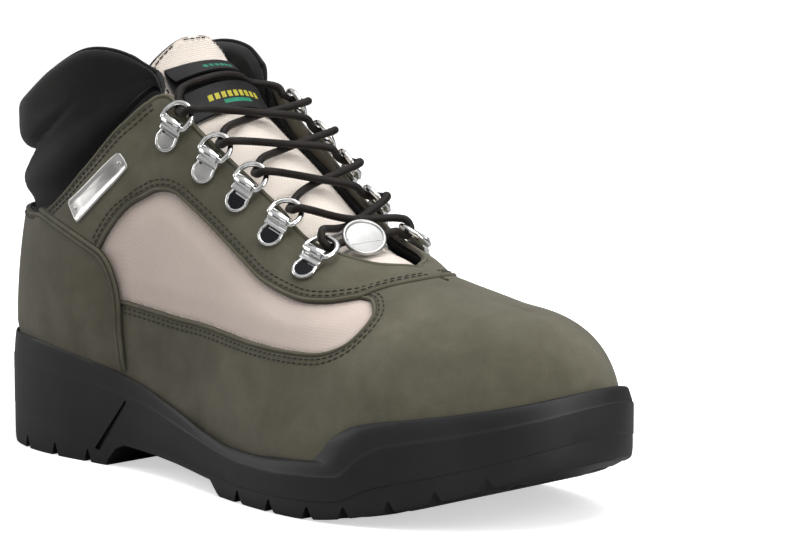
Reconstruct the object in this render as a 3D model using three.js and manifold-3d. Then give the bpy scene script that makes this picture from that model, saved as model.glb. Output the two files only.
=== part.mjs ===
// Field boot, right shoe: cupped lug outsole, one hollow upper with its panel let in, padded collar,
// tongue, and five pairs of plate-and-ring hooks with their lacing. Millimetres, +Z up, toe towards +X,
// little-toe side towards -Y. Lengths start at the back of the heel until the last lines centre the boot.
import * as THREE from "three";
import { mergeVertices } from "three/addons/utils/BufferGeometryUtils.js";
import Module from "manifold-3d";

const wasm = await Module();
wasm.setup();

// Driving sizes
const SOLE_LENGTH = 302;
const BALL_WIDTH = 112;
const LEATHER_HEIGHT = 151;
const RIM_HEIGHT = 43;
const TOE_SPRING = 24;
const CLEARANCE = 0.3;
const UPPER_WALL = 2.4;
const OVERLAY_RISE = 0.8;
const PANEL_DEPTH = 1;
const SEAM_WIDTH = 1.6;
const INSOLE_THICKNESS = 4;
const LUG_DEPTH = 5;
const LUG_NOTCH_WIDTH = 5;
const LUG_NOTCH_TIP = 1;
const LUG_REACH = 17;
const CHANNEL_WIDTH = 3.5;
const ARCH_LIFT = 9.4;
const TREAD_DEPTH = 5.6;
const TREAD_LEAN = 6.5;
const COLLAR_PAD = 10;
const COLLAR_TUCK = 32;
const TONGUE_THICKNESS = 5;
const LACE_RADIUS = 1.9;
const WIRE_RADIUS = 1.1;
const CLIP_WIDTH = 10.4;
const CLIP_LENGTH = 11;
const CLIP_PLATE = 1;
const CLIP_BARREL_WALL = 0.8;
const CLIP_BARREL_INSET = 0.7;
const RING_WIDTH = 12.6;
const RING_REACH = 11;
const RING_LIFT_DEGREES = -10;
const LACE_SLACK = 0.4;
const PLATE_THICKNESS = 0.9;
const MEDALLION_LENGTH = 19;
const MEDALLION_HEIGHT = 15.4;
const MEDALLION_THICKNESS = 1.6;
const FRAME_REACH = 2;
const FRAME_HEIGHT = 8;
const FRAME_WIRE = 0.7;
const LABEL_WIDTH = 34;
const LABEL_THICKNESS = 1.2;

// A table is a list of rows with named columns. Each column is a share of one named size.
function table(columns, rows) {
  const names = Object.keys(columns);
  return rows.map((row) => names.map((name, k) => row[k] * columns[name]));
}

// Outline of the sole and ribs of the upper, one row for each station from the toe to the heel.
const SOLE_COLUMNS = { along: SOLE_LENGTH, out: BALL_WIDTH };
const SOLE_LATERAL = table(SOLE_COLUMNS, [
  [1, 0.107], [0.987, -0.063], [0.954, -0.205], [0.904, -0.321], [0.841, -0.42], [0.765, -0.487],
  [0.682, -0.509], [0.596, -0.482], [0.513, -0.429], [0.43, -0.375], [0.348, -0.348], [0.265, -0.353],
  [0.182, -0.357], [0.116, -0.335], [0.06, -0.272], [0.017, -0.152], [0, 0],
]);
const SOLE_MEDIAL = table(SOLE_COLUMNS, [
  [1, 0.107], [0.997, 0.232], [0.974, 0.339], [0.93, 0.42], [0.864, 0.473], [0.795, 0.5],
  [0.712, 0.5], [0.629, 0.464], [0.546, 0.402], [0.464, 0.339], [0.381, 0.308], [0.298, 0.308],
  [0.215, 0.33], [0.139, 0.33], [0.066, 0.277], [0.017, 0.152], [0, 0],
]);
const RIB_COLUMNS = {
  baseAlong: SOLE_LENGTH, baseOut: BALL_WIDTH, topAlong: SOLE_LENGTH, topOut: BALL_WIDTH, topUp: LEATHER_HEIGHT,
  lowBulge: BALL_WIDTH, lowAt: 1, highBulge: BALL_WIDTH, highAt: 1,
};
const RIBS_LATERAL = table(RIB_COLUMNS, [
  [0.983, 0.107, 0.881, 0.08, 0.5, 0.018, 0.66, 0.268, 1],
  [0.967, -0.071, 0.868, 0.08, 0.505, 0.018, 0.68, 0.286, 1],
  [0.927, -0.223, 0.848, 0.076, 0.512, 0.027, 0.68, 0.295, 1],
  [0.871, -0.339, 0.818, 0.071, 0.523, 0.027, 0.68, 0.295, 1],
  [0.805, -0.424, 0.772, 0.062, 0.545, 0.027, 0.66, 0.286, 0.99],
  [0.735, -0.464, 0.709, 0.054, 0.576, 0.018, 0.64, 0.259, 0.98],
  [0.656, -0.46, 0.671, -0.08, 0.594, 0.009, 0.586, 0.207, 0.935],
  [0.583, -0.429, 0.597, -0.142, 0.636, 0.009, 0.543, 0.169, 0.901],
  [0.51, -0.384, 0.544, -0.157, 0.716, 0.017, 0.486, 0.136, 0.861],
  [0.437, -0.344, 0.476, -0.175, 0.806, 0.035, 0.442, 0.119, 0.809],
  [0.371, -0.321, 0.404, -0.193, 0.9, 0.053, 0.396, 0.119, 0.774],
  [0.311, -0.317, 0.341, -0.205, 1, 0.062, 0.36, 0.107, 0.74],
  [0.258, -0.321, 0.298, -0.286, 0.921, 0.062, 0.36, 0.062, 0.7],
  [0.199, -0.326, 0.235, -0.317, 0.785, 0.054, 0.36, 0.045, 0.7],
  [0.139, -0.312, 0.166, -0.304, 0.685, 0.045, 0.36, 0.045, 0.7],
  [0.079, -0.259, 0.093, -0.241, 0.65, 0.036, 0.36, 0.036, 0.7],
  [0.033, -0.152, 0.033, -0.129, 0.64, 0.027, 0.36, 0.036, 0.7],
  [0.013, 0, 0.01, 0, 0.637, 0.027, 0.36, 0.036, 0.7],
]);
const RIBS_MEDIAL = table(RIB_COLUMNS, [
  [0.983, 0.107, 0.881, 0.08, 0.5, 0.018, 0.66, 0.268, 1],
  [0.98, 0.223, 0.868, 0.08, 0.505, 0.018, 0.64, 0.268, 1],
  [0.957, 0.33, 0.848, 0.076, 0.512, 0.018, 0.63, 0.263, 1],
  [0.901, 0.411, 0.818, 0.071, 0.523, 0.018, 0.62, 0.25, 1],
  [0.825, 0.46, 0.772, 0.062, 0.545, 0.018, 0.62, 0.25, 0.99],
  [0.745, 0.469, 0.709, 0.054, 0.576, 0.009, 0.62, 0.241, 0.98],
  [0.656, 0.446, 0.681, 0.151, 0.594, 0.009, 0.605, 0.194, 0.944],
  [0.583, 0.402, 0.607, 0.201, 0.637, 0.009, 0.58, 0.162, 0.919],
  [0.51, 0.348, 0.544, 0.221, 0.718, 0.026, 0.528, 0.119, 0.893],
  [0.437, 0.304, 0.476, 0.257, 0.807, 0.052, 0.458, 0.11, 0.842],
  [0.371, 0.286, 0.404, 0.281, 0.9, 0.078, 0.415, 0.097, 0.792],
  [0.311, 0.286, 0.341, 0.304, 1, 0.089, 0.4, 0.08, 0.76],
  [0.258, 0.299, 0.298, 0.321, 0.921, 0.08, 0.38, 0.054, 0.7],
  [0.199, 0.304, 0.235, 0.321, 0.785, 0.054, 0.36, 0.045, 0.7],
  [0.139, 0.295, 0.166, 0.295, 0.685, 0.045, 0.36, 0.045, 0.7],
  [0.079, 0.25, 0.093, 0.241, 0.65, 0.036, 0.36, 0.036, 0.7],
  [0.033, 0.147, 0.033, 0.129, 0.64, 0.027, 0.36, 0.036, 0.7],
  [0.013, 0, 0.01, 0, 0.637, 0.027, 0.36, 0.036, 0.7],
]);
// Heights along the boot: upper edge of the sole's wall, and the floor inside its cup.
const RIM = table({ along: SOLE_LENGTH, up: RIM_HEIGHT }, [
  [0, 1.047], [0.108, 1.07], [0.152, 1.047], [0.199, 1.005], [0.248, 0.953], [0.298, 0.895], [0.349, 0.814],
  [0.401, 0.702], [0.455, 0.6], [0.512, 0.512], [0.569, 0.461], [0.626, 0.456], [0.684, 0.484], [0.74, 0.512],
  [0.757, 0.6], [0.771, 0.72], [0.797, 0.845], [0.823, 0.895], [0.871, 0.953], [0.932, 1.035], [0.975, 1.116],
  [1.007, 1.22],
]);
const CUP_FLOOR = table({ along: SOLE_LENGTH, up: RIM_HEIGHT }, [
  [0, 0.628], [0.199, 0.605], [0.364, 0.442], [0.497, 0.302], [0.712, 0.279], [0.844, 0.395], [1.007, 0.767],
]);
const STATIONS = 34;
const HEEL_STATION = 17;
const THROAT_STATION = 5;
const CORNER_STATION = 11;

// Point on the smooth curve through a list of rows; `closed` runs it round from the last to the first.
function through(rows, place, closed) {
  const count = rows.length;
  const last = closed ? count : count - 1;
  const start = closed ? Math.floor(place) : Math.min(Math.floor(place), last - 1);
  const f = place - start;
  const at = (k) => rows[((k % count) + count) % count];
  const p1 = at(start);
  const p2 = at(start + 1);
  const before = !closed && start === 0 ? p1.map((v, k) => 2 * v - p2[k]) : at(start - 1);
  const after = !closed && start + 2 > last ? p2.map((v, k) => 2 * v - p1[k]) : at(start + 2);
  return p1.map((v, k) => 0.5 * (2 * v + (p2[k] - before[k]) * f
    + (2 * before[k] - 5 * v + 4 * p2[k] - after[k]) * f * f
    + (3 * v - before[k] - 3 * p2[k] + after[k]) * f * f * f));
}

// Height read from a two-column table without overshoot.
function heightAt(rows, x) {
  const last = rows.length - 1;
  const slope = (k) => (rows[k + 1][1] - rows[k][1]) / (rows[k + 1][0] - rows[k][0]);
  const tangent = (k) => {
    if (k === 0) return slope(0);
    if (k === last) return slope(last - 1);
    const a = slope(k - 1);
    const b = slope(k);
    return a * b <= 0 ? 0 : (2 * a * b) / (a + b);
  };
  const clamped = THREE.MathUtils.clamp(x, rows[0][0], rows[last][0]);
  let k = 0;
  while (k < last - 1 && clamped > rows[k + 1][0]) k += 1;
  const width = rows[k + 1][0] - rows[k][0];
  const t = (clamped - rows[k][0]) / width;
  const h00 = (1 + 2 * t) * (1 - t) ** 2;
  const h10 = t * (1 - t) ** 2;
  const h01 = t * t * (3 - 2 * t);
  const h11 = t * t * (t - 1);
  return h00 * rows[k][1] + h10 * width * tangent(k) + h01 * rows[k + 1][1] + h11 * width * tangent(k + 1);
}

function closedLoop(lateral, medial) {
  return [...lateral, ...medial.slice(1, -1).reverse()];
}
const SOLE_LOOP = closedLoop([...SOLE_LATERAL], [...SOLE_MEDIAL]);
const RIB_LOOP = closedLoop(RIBS_LATERAL, RIBS_MEDIAL);
const SOLE_STATIONS = SOLE_LOOP.length;

// Sole outline at a rib station: the outline has one row less on each side than the ribs.
function soleOutline(u) {
  const [x, y] = through(SOLE_LOOP, (u * SOLE_STATIONS) / STATIONS, true);
  return new THREE.Vector2(x, y);
}
function soleBottom(x) {
  const FLAT_END = 0.712 * SOLE_LENGTH;
  const HEEL_BEVEL = 0.05 * SOLE_LENGTH;
  const toe = TOE_SPRING * Math.max(0, (x - FLAT_END) / (SOLE_LENGTH - FLAT_END)) ** 1.7;
  return toe + 0.06 * RIM_HEIGHT * Math.max(0, 1 - x / HEEL_BEVEL) ** 2;
}
const mirror = (u) => (STATIONS - u) % STATIONS;
const isRidge = (u) => u <= THROAT_STATION || u >= STATIONS - THROAT_STATION;

// Point of the upper's outer face: u goes round the boot from the toe, v from its lower to its upper edge.
function upperFace(u, v) {
  const turn = ((u % STATIONS) + STATIONS) % STATIONS;
  const rib = through(RIB_LOOP, turn, true);
  const step = 0.05;
  const back = through(RIB_LOOP, (turn - step + STATIONS) % STATIONS, true);
  const ahead = through(RIB_LOOP, (turn + step) % STATIONS, true);
  const outward = new THREE.Vector2(-(ahead[1] - back[1]), ahead[0] - back[0]).normalize();
  const [baseX, baseY, , , , lowOut, lowAt, highOut, highAt] = rib;
  let top = new THREE.Vector3(rib[2], rib[3], rib[4]);
  if (isRidge(turn)) {
    const other = through(RIB_LOOP, mirror(turn), true);
    top = top.add(new THREE.Vector3(other[2], other[3], other[4])).multiplyScalar(0.5);
  }
  const floor = heightAt(CUP_FLOOR, baseX) + CLEARANCE;
  const rise = top.z - floor;
  const bezier = new THREE.CubicBezierCurve3(
    new THREE.Vector3(baseX, baseY, floor),
    new THREE.Vector3(baseX + outward.x * lowOut, baseY + outward.y * lowOut, floor + lowAt * rise),
    new THREE.Vector3(top.x + outward.x * highOut, top.y + outward.y * highOut, floor + highAt * rise),
    top,
  );
  return bezier.getPoint(v);
}
function oneNormal(u, v) {
  const du = 0.08;
  const dv = 0.02;
  const level = THREE.MathUtils.clamp(v, dv, 1 - dv);
  const along = upperFace(u + du, level).sub(upperFace(u - du, level));
  const up = upperFace(u, level + dv).sub(upperFace(u, level - dv));
  return up.cross(along).normalize();
}
function upperNormal(u, v) {
  const normal = oneNormal(u, v);
  if (v >= 1 && isRidge(u)) normal.add(oneNormal(mirror(u), v)).normalize();
  return normal;
}
function upperOffset(u, v, distance) {
  return upperFace(u, v).addScaledVector(upperNormal(u, v), distance);
}
// The level v at which the upper's face passes a height.
function levelAt(u, height) {
  let low = 0;
  let high = 0.9;
  for (let k = 0; k < 24; k += 1) {
    const middle = (low + high) / 2;
    if (upperFace(u, middle).z < height) low = middle;
    else high = middle;
  }
  return (low + high) / 2;
}

// Stations used by the meshes, closer round the toe, the heel and where the sole's rim steps up.
const SIDE_STATIONS = [
  0, 0.5, 1, 1.5, 2, 2.5, 3, 3.5, 4, 4.4, 4.75, 5, 5.2, 5.5, 6, 7, 8, 9, 10, 11, 11.5, 12, 12.5, 13, 14, 15,
  15.5, 16, 16.5, 17,
];
function meshStations() {
  return [...SIDE_STATIONS, ...SIDE_STATIONS.slice(1, -1).reverse().map(mirror)];
}
const U = meshStations();

// Mesh helpers
function geometryOf(points, triangles) {
  const geometry = new THREE.BufferGeometry();
  geometry.setAttribute("position", new THREE.Float32BufferAttribute(points.flatMap((p) => [p.x, p.y, p.z]), 3));
  geometry.setIndex(triangles);
  return geometry;
}
function signedVolume(geometry) {
  const p = geometry.attributes.position;
  const index = geometry.index.array;
  const [a, b, c] = [new THREE.Vector3(), new THREE.Vector3(), new THREE.Vector3()];
  let sum = 0;
  for (let k = 0; k < index.length; k += 3) {
    a.fromBufferAttribute(p, index[k]);
    b.fromBufferAttribute(p, index[k + 1]);
    c.fromBufferAttribute(p, index[k + 2]);
    sum += a.dot(b.cross(c)) / 6;
  }
  return sum;
}
const SHORTEST_EDGE = 0.05;
// Merges shared corners, drops collapsed triangles and turns the faces outward.
function closed(geometry) {
  const bare = geometry.clone();
  for (const name of Object.keys(bare.attributes)) if (name !== "position") bare.deleteAttribute(name);
  const merged = mergeVertices(bare, 1e-4);
  const kept = [];
  const index = merged.index.array;
  for (let k = 0; k < index.length; k += 3) {
    const [a, b, c] = [index[k], index[k + 1], index[k + 2]];
    if (a !== b && b !== c && a !== c) kept.push(a, b, c);
  }
  merged.setIndex(kept);
  if (signedVolume(merged) < 0) {
    for (let k = 0; k < kept.length; k += 3) [kept[k], kept[k + 1]] = [kept[k + 1], kept[k]];
    merged.setIndex(kept);
  }
  return merged;
}
function solid(geometry) {
  const merged = closed(geometry);
  return new wasm.Manifold(new wasm.Mesh({
    numProp: 3,
    vertProperties: new Float32Array(merged.attributes.position.array),
    triVerts: new Uint32Array(merged.index.array),
  }));
}
function fromSolid(manifold) {
  const mesh = manifold.simplify(SHORTEST_EDGE).getMesh();
  const geometry = new THREE.BufferGeometry();
  geometry.setAttribute("position", new THREE.BufferAttribute(mesh.vertProperties, 3));
  geometry.setIndex(new THREE.BufferAttribute(mesh.triVerts, 1));
  return geometry;
}
// Stack of rings joined level to level. `loop` joins the last ring to the first, `fans` closes both ends
// with a fan, and `caps` closes them across paired stations.
function stackRings(rings, { caps = [], fans = false, loop = false } = {}) {
  const count = rings[0].length;
  const points = rings.flat();
  const triangles = [];
  const levels = loop ? rings.length : rings.length - 1;
  for (let r = 0; r < levels; r += 1) {
    const next = (r + 1) % rings.length;
    for (let k = 0; k < count; k += 1) {
      const a = r * count + k;
      const b = r * count + ((k + 1) % count);
      const c = next * count + ((k + 1) % count);
      const d = next * count + k;
      triangles.push(a, b, c, a, c, d);
    }
  }
  const face = (corners, flip) => {
    const base = points.length;
    points.push(...corners);
    for (let k = 1; k < corners.length - 1; k += 1) {
      if (flip) triangles.push(base, base + k + 1, base + k);
      else triangles.push(base, base + k, base + k + 1);
    }
  };
  if (fans) {
    for (const [ring, flip] of [[rings[0], true], [rings[rings.length - 1], false]]) {
      const centre = ring.reduce((sum, q) => sum.add(q), new THREE.Vector3()).divideScalar(count);
      ring.forEach((point, k) => face([centre, point, ring[(k + 1) % count]], flip));
    }
  }
  caps.forEach(({ ring, flip, height }) => {
    const COLUMNS = 2;
    const cross = (k, c) => {
      const p = rings[ring][k].clone().lerp(rings[ring][(count - k) % count], c / COLUMNS);
      if (height && c > 0 && c < COLUMNS) p.z = height(p.x);
      return p;
    };
    for (let k = 0; k < count / 2; k += 1) {
      for (let c = 0; c < COLUMNS; c += 1) {
        face([cross(k, c), cross(k + 1, c), cross(k + 1, c + 1), cross(k, c + 1)], flip);
      }
    }
  });
  return closed(geometryOf(points, triangles));
}
// Skin of the upper between two distances from its outer face, open below, at the throat and on top.
const LEVELS = [0, 0.09, 0.21, 0.36, 0.52, 0.68, 0.84, 1];
function upperShell(outer, inner, fromV, toV) {
  const vs = [fromV, ...LEVELS.filter((v) => v > fromV + 0.01 && v < toV - 0.01), toV];
  const levels = vs.length - 1;
  const count = U.length;
  const points = [outer, inner].flatMap((distance) => vs.flatMap((v) => U.map((u) => upperOffset(u, v, distance))));
  const at = (side, level, k) => (side * (levels + 1) + level) * count + (k % count);
  const triangles = [];
  const quad = (a, b, c, d) => triangles.push(a, b, c, a, c, d);
  for (let k = 0; k < count; k += 1) {
    for (let level = 0; level < levels; level += 1) {
      quad(at(0, level, k), at(0, level, k + 1), at(0, level + 1, k + 1), at(0, level + 1, k));
      quad(at(1, level, k), at(1, level + 1, k), at(1, level + 1, k + 1), at(1, level, k + 1));
    }
    quad(at(0, 0, k), at(1, 0, k), at(1, 0, k + 1), at(0, 0, k + 1));
    const onRidge = toV >= 1 && isRidge(U[k]) && isRidge(U[(k + 1) % count]);
    if (!onRidge) quad(at(0, levels, k), at(0, levels, k + 1), at(1, levels, k + 1), at(1, levels, k));
  }
  return geometryOf(points, triangles);
}
// Prism over an outline in the side view, from one depth to another across the boot.
function sidePrism(outline, fromY, toY) {
  const shape = new THREE.Shape(outline.map(([x, z]) => new THREE.Vector2(x, z)));
  const geometry = new THREE.ExtrudeGeometry(shape, { depth: Math.abs(toY - fromY), bevelEnabled: false });
  geometry.rotateX(Math.PI / 2);
  geometry.translate(0, Math.max(fromY, toY), 0);
  return solid(geometry);
}
// Round tube along points, with flat ends or joined to itself.
function tube(path, radius, sides, loop = false) {
  const count = path.length;
  const tangentAt = (k) => {
    const back = loop ? path[(k - 1 + count) % count] : path[Math.max(k - 1, 0)];
    const ahead = loop ? path[(k + 1) % count] : path[Math.min(k + 1, count - 1)];
    return ahead.clone().sub(back).normalize();
  };
  let side = new THREE.Vector3(0.31, 0.87, 0.38).cross(tangentAt(0)).normalize();
  const frames = [];
  for (let k = 0; k < count; k += 1) {
    const tangent = tangentAt(k);
    side = side.clone().addScaledVector(tangent, -side.dot(tangent)).normalize();
    frames.push([side, tangent.clone().cross(side)]);
  }
  const rings = frames.map(([a, b], k) => Array.from({ length: sides }, (_, j) => {
    const angle = (2 * Math.PI * j) / sides;
    return path[k].clone().addScaledVector(a, radius * Math.cos(angle)).addScaledVector(b, radius * Math.sin(angle));
  }));
  return stackRings(rings, loop ? { loop } : { fans: true });
}

const boot = new THREE.Group();
function add(name, geometry, { colour, roughness, metalness = 0 }) {
  const material = new THREE.MeshStandardMaterial({ color: colour, roughness, metalness });
  const mesh = new THREE.Mesh(geometry, material);
  mesh.name = name;
  boot.add(mesh);
}
const RUBBER = { colour: 0x323234, roughness: 0.6 };
const NUBUCK = { colour: 0x66634f, roughness: 0.9 };
const PAD_CLOTH = { colour: 0x232323, roughness: 0.95 };
const FACING_CLOTH = { colour: 0xd2c4b8, roughness: 0.9 };
const CORD = { colour: 0x2b201d, roughness: 0.85 };
const STEEL = { colour: 0xc9c9c6, roughness: 0.25, metalness: 1 };

// Outsole
function outsoleBody() {
  const rings = { foot: [], ground: [], widest: [], lip: [], inner: [], high: [], deep: [], floor: [] };
  for (const u of U) {
    const edge = soleOutline(u);
    const rim = heightAt(RIM, (edge.x + upperFace(u, 0).x) / 2);
    const bottom = soleBottom(edge.x);
    const rimLevel = levelAt(u, rim);
    const cup = (v) => upperOffset(u, v, CLEARANCE);
    const inner = cup(rimLevel);
    const towards = new THREE.Vector2(inner.x - edge.x, inner.y - edge.y);
    const shifted = (share, z) => new THREE.Vector3(edge.x + towards.x * share, edge.y + towards.y * share, z);
    rings.foot.push(shifted(0.35, bottom));
    rings.ground.push(shifted(0.08, bottom + 0.35 * LUG_DEPTH));
    rings.widest.push(shifted(0, bottom + 0.82 * (rim - bottom)));
    rings.lip.push(shifted(0.45, rim));
    rings.inner.push(inner);
    rings.high.push(cup((2 * rimLevel) / 3));
    rings.deep.push(cup(rimLevel / 3));
    const low = cup(0);
    low.z = heightAt(CUP_FLOOR, upperFace(u, 0).x);
    rings.floor.push(low);
  }
  const order = [
    rings.foot, rings.ground, rings.widest, rings.lip, rings.inner, rings.high, rings.deep, rings.floor,
  ];
  return stackRings(order, {
    caps: [{ ring: 0, flip: true, height: soleBottom }, { ring: order.length - 1, flip: false }],
  });
}
function outsole() {
  let body = solid(outsoleBody());
  const overcut = 1.25 * LUG_DEPTH;
  const breast = 0.285 * SOLE_LENGTH;
  const treadStart = 0.521 * SOLE_LENGTH;
  const arch = [
    [breast - 0.3 * ARCH_LIFT, -overcut], [breast + 0.1 * ARCH_LIFT, 0.3 * ARCH_LIFT],
    [breast + 1.1 * ARCH_LIFT, ARCH_LIFT], [treadStart, TREAD_DEPTH], [treadStart + TREAD_LEAN, 0],
    [treadStart + TREAD_LEAN, -overcut],
  ];
  body = body.subtract(sidePrism(arch, -BALL_WIDTH, BALL_WIDTH));
  const notch = (x) => {
    const z = soleBottom(x);
    const half = LUG_NOTCH_WIDTH / 2;
    const tip = LUG_NOTCH_TIP / 2;
    return [
      [x - half, z - overcut], [x - half, z], [x - tip, z + LUG_DEPTH], [x + tip, z + LUG_DEPTH], [x + half, z],
      [x + half, z - overcut],
    ];
  };
  const HEEL_NOTCHES = [0.048, 0.114, 0.182, 0.248].map((share) => share * SOLE_LENGTH);
  const FOREFOOT_NOTCHES = [0.589, 0.656, 0.723, 0.777, 0.834, 0.885, 0.935].map((share) => share * SOLE_LENGTH);
  for (const x of [...HEEL_NOTCHES, ...FOREFOOT_NOTCHES]) {
    const [lateral, medial] = [outlineY(x, -1), outlineY(x, 1)];
    const reach = LUG_REACH + 0.35 * CHANNEL_WIDTH;
    body = body.subtract(sidePrism(notch(x), lateral - overcut, lateral + reach));
    body = body.subtract(sidePrism(notch(x), medial - reach, medial + overcut));
  }
  const MIDDLE_CUTS = [0.148, 0.215, 0.622, 0.69, 0.75, 0.805, 0.86].map((share) => share * SOLE_LENGTH);
  for (const x of MIDDLE_CUTS) {
    const reach = LUG_REACH + 0.65 * CHANNEL_WIDTH;
    body = body.subtract(sidePrism(notch(x), outlineY(x, -1) + reach, outlineY(x, 1) - reach));
  }
  return fromSolid(body.subtract(treadChannels()));
}
// Half breadth of the sole at a place along it, on one side.
function outlineY(x, side) {
  let best = 0;
  let gap = Infinity;
  for (let k = 1; k < 400; k += 1) {
    const u = (HEEL_STATION * k) / 400;
    const point = soleOutline(side < 0 ? u : mirror(u));
    if (Math.abs(point.x - x) < gap) {
      gap = Math.abs(point.x - x);
      best = point.y;
    }
  }
  return best;
}
// Two lengthwise channels between the edge lugs and the middle lugs, and the cross cuts of the middle.
function treadChannels() {
  const cuts = [];
  for (const [from, to] of [[0.045, 0.262], [0.55, 0.9]]) {
    for (const side of [-1, 1]) {
      const STEPS = 6;
      const inner = [];
      const outer = [];
      for (let k = 0; k <= STEPS; k += 1) {
        const x = SOLE_LENGTH * (from + ((to - from) * k) / STEPS);
        const y = outlineY(x, side) - side * LUG_REACH;
        inner.push(new THREE.Vector2(x, y - side * CHANNEL_WIDTH));
        outer.push(new THREE.Vector2(x, y));
      }
      const shape = new THREE.Shape([...outer, ...inner.reverse()]);
      const geometry = new THREE.ExtrudeGeometry(shape, { depth: TOE_SPRING, bevelEnabled: false });
      geometry.translate(0, 0, -TOE_SPRING);
      const points = geometry.attributes.position;
      for (let k = 0; k < points.count; k += 1) {
        if (points.getZ(k) > -TOE_SPRING / 2) points.setZ(k, soleBottom(points.getX(k)) + 0.8 * LUG_DEPTH);
      }
      cuts.push(solid(geometry));
    }
  }
  return cuts.reduce((sum, next) => sum.add(next));
}
add("outsole", outsole(), RUBBER);

// Insole
function insole() {
  const ring = (lift) => U.map((u) => {
    const floor = heightAt(CUP_FLOOR, upperFace(u, 0).x) + CLEARANCE;
    const point = upperOffset(u, levelAt(u, floor + lift), -(UPPER_WALL + CLEARANCE));
    point.z = floor + lift;
    return point;
  });
  return stackRings([ring(0), ring(INSOLE_THICKNESS)], {
    caps: [{ ring: 0, flip: true }, { ring: 1, flip: false }],
  });
}
add("insole", insole(), PAD_CLOTH);

// Upper: one shell, with the ankle piece and heel counter raised and the cloth panel let in
const OUTLINE_COLUMNS = { along: SOLE_LENGTH, up: LEATHER_HEIGHT };
const PANEL_EDGE = table(OUTLINE_COLUMNS, [
  [0.275, 0.567], [0.295, 0.628], [0.319, 0.683], [0.346, 0.714], [0.366, 0.731], [0.392, 0.729], [0.422, 0.697],
  [0.483, 0.623], [0.523, 0.577], [0.563, 0.538], [0.625, 0.506], [0.67, 0.504], [0.715, 0.519], [0.73, 0.513],
  [0.75, 0.479], [0.748, 0.445], [0.738, 0.417], [0.717, 0.389], [0.686, 0.382], [0.618, 0.387], [0.544, 0.389],
  [0.47, 0.406], [0.424, 0.409], [0.371, 0.421], [0.326, 0.43], [0.308, 0.43],
]);
const COUNTER_SEAM = table(OUTLINE_COLUMNS, [
  [0.06, 0.66], [0.12, 0.645], [0.18, 0.622], [0.22, 0.601], [0.262, 0.571], [0.283, 0.548],
  [0.298, 0.502], [0.308, 0.439], [0.31, 0.367], [0.313, 0.31],
]);
const VAMP_EDGE = table(OUTLINE_COLUMNS, [
  [0.7, 0.51], [0.715, 0.519], [0.732, 0.546], [0.744, 0.556], [0.76, 0.55], [0.76, 0.72],
]);
function bothSides(outline) {
  return sidePrism(outline, -BALL_WIDTH, 0).add(sidePrism(outline, 0, BALL_WIDTH));
}
function upper() {
  const base = solid(upperShell(0, -UPPER_WALL, 0, 1));
  const raised = solid(upperShell(OVERLAY_RISE, -UPPER_WALL / 4, 0.04, 0.985));
  const half = SEAM_WIDTH / 2;
  const seamFront = COUNTER_SEAM.map(([x, z]) => [x + half, z + half]);
  const seamBack = COUNTER_SEAM.map(([x, z]) => [x - half, z - half]);
  const cornerRow = 5;
  const ankle = [
    ...seamFront.slice(0, cornerRow + 1), ...PANEL_EDGE.slice(0, 12), ...VAMP_EDGE,
    [0.76 * SOLE_LENGTH, 1.2 * LEATHER_HEIGHT], [0.02 * SOLE_LENGTH, 1.2 * LEATHER_HEIGHT],
    [0.02 * SOLE_LENGTH, 0.665 * LEATHER_HEIGHT],
  ];
  const footGap = OVERLAY_RISE + CLEARANCE + UPPER_WALL / 4;
  const counterFoot = heightAt(RIM, 0.3 * SOLE_LENGTH) + footGap;
  const middleFoot = heightAt(RIM, 0.19 * SOLE_LENGTH);
  const heelFoot = heightAt(RIM, 0.108 * SOLE_LENGTH);
  const counter = [
    [-0.1 * SOLE_LENGTH, 0.66 * LEATHER_HEIGHT - half], ...seamBack.slice(0, -1),
    [0.31 * SOLE_LENGTH, counterFoot + footGap], [0.22 * SOLE_LENGTH, middleFoot + footGap],
    [0.13 * SOLE_LENGTH, heelFoot + footGap], [-0.1 * SOLE_LENGTH, heelFoot + footGap],
  ];
  const overlays = raised.intersect(bothSides(ankle).add(bothSides(counter)));
  const recess = solid(upperShell(UPPER_WALL, -PANEL_DEPTH, 0.17, 0.88)).intersect(bothSides(PANEL_EDGE));
  return fromSolid(base.add(overlays).subtract(recess));
}
add("upper", upper(), NUBUCK);

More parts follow.
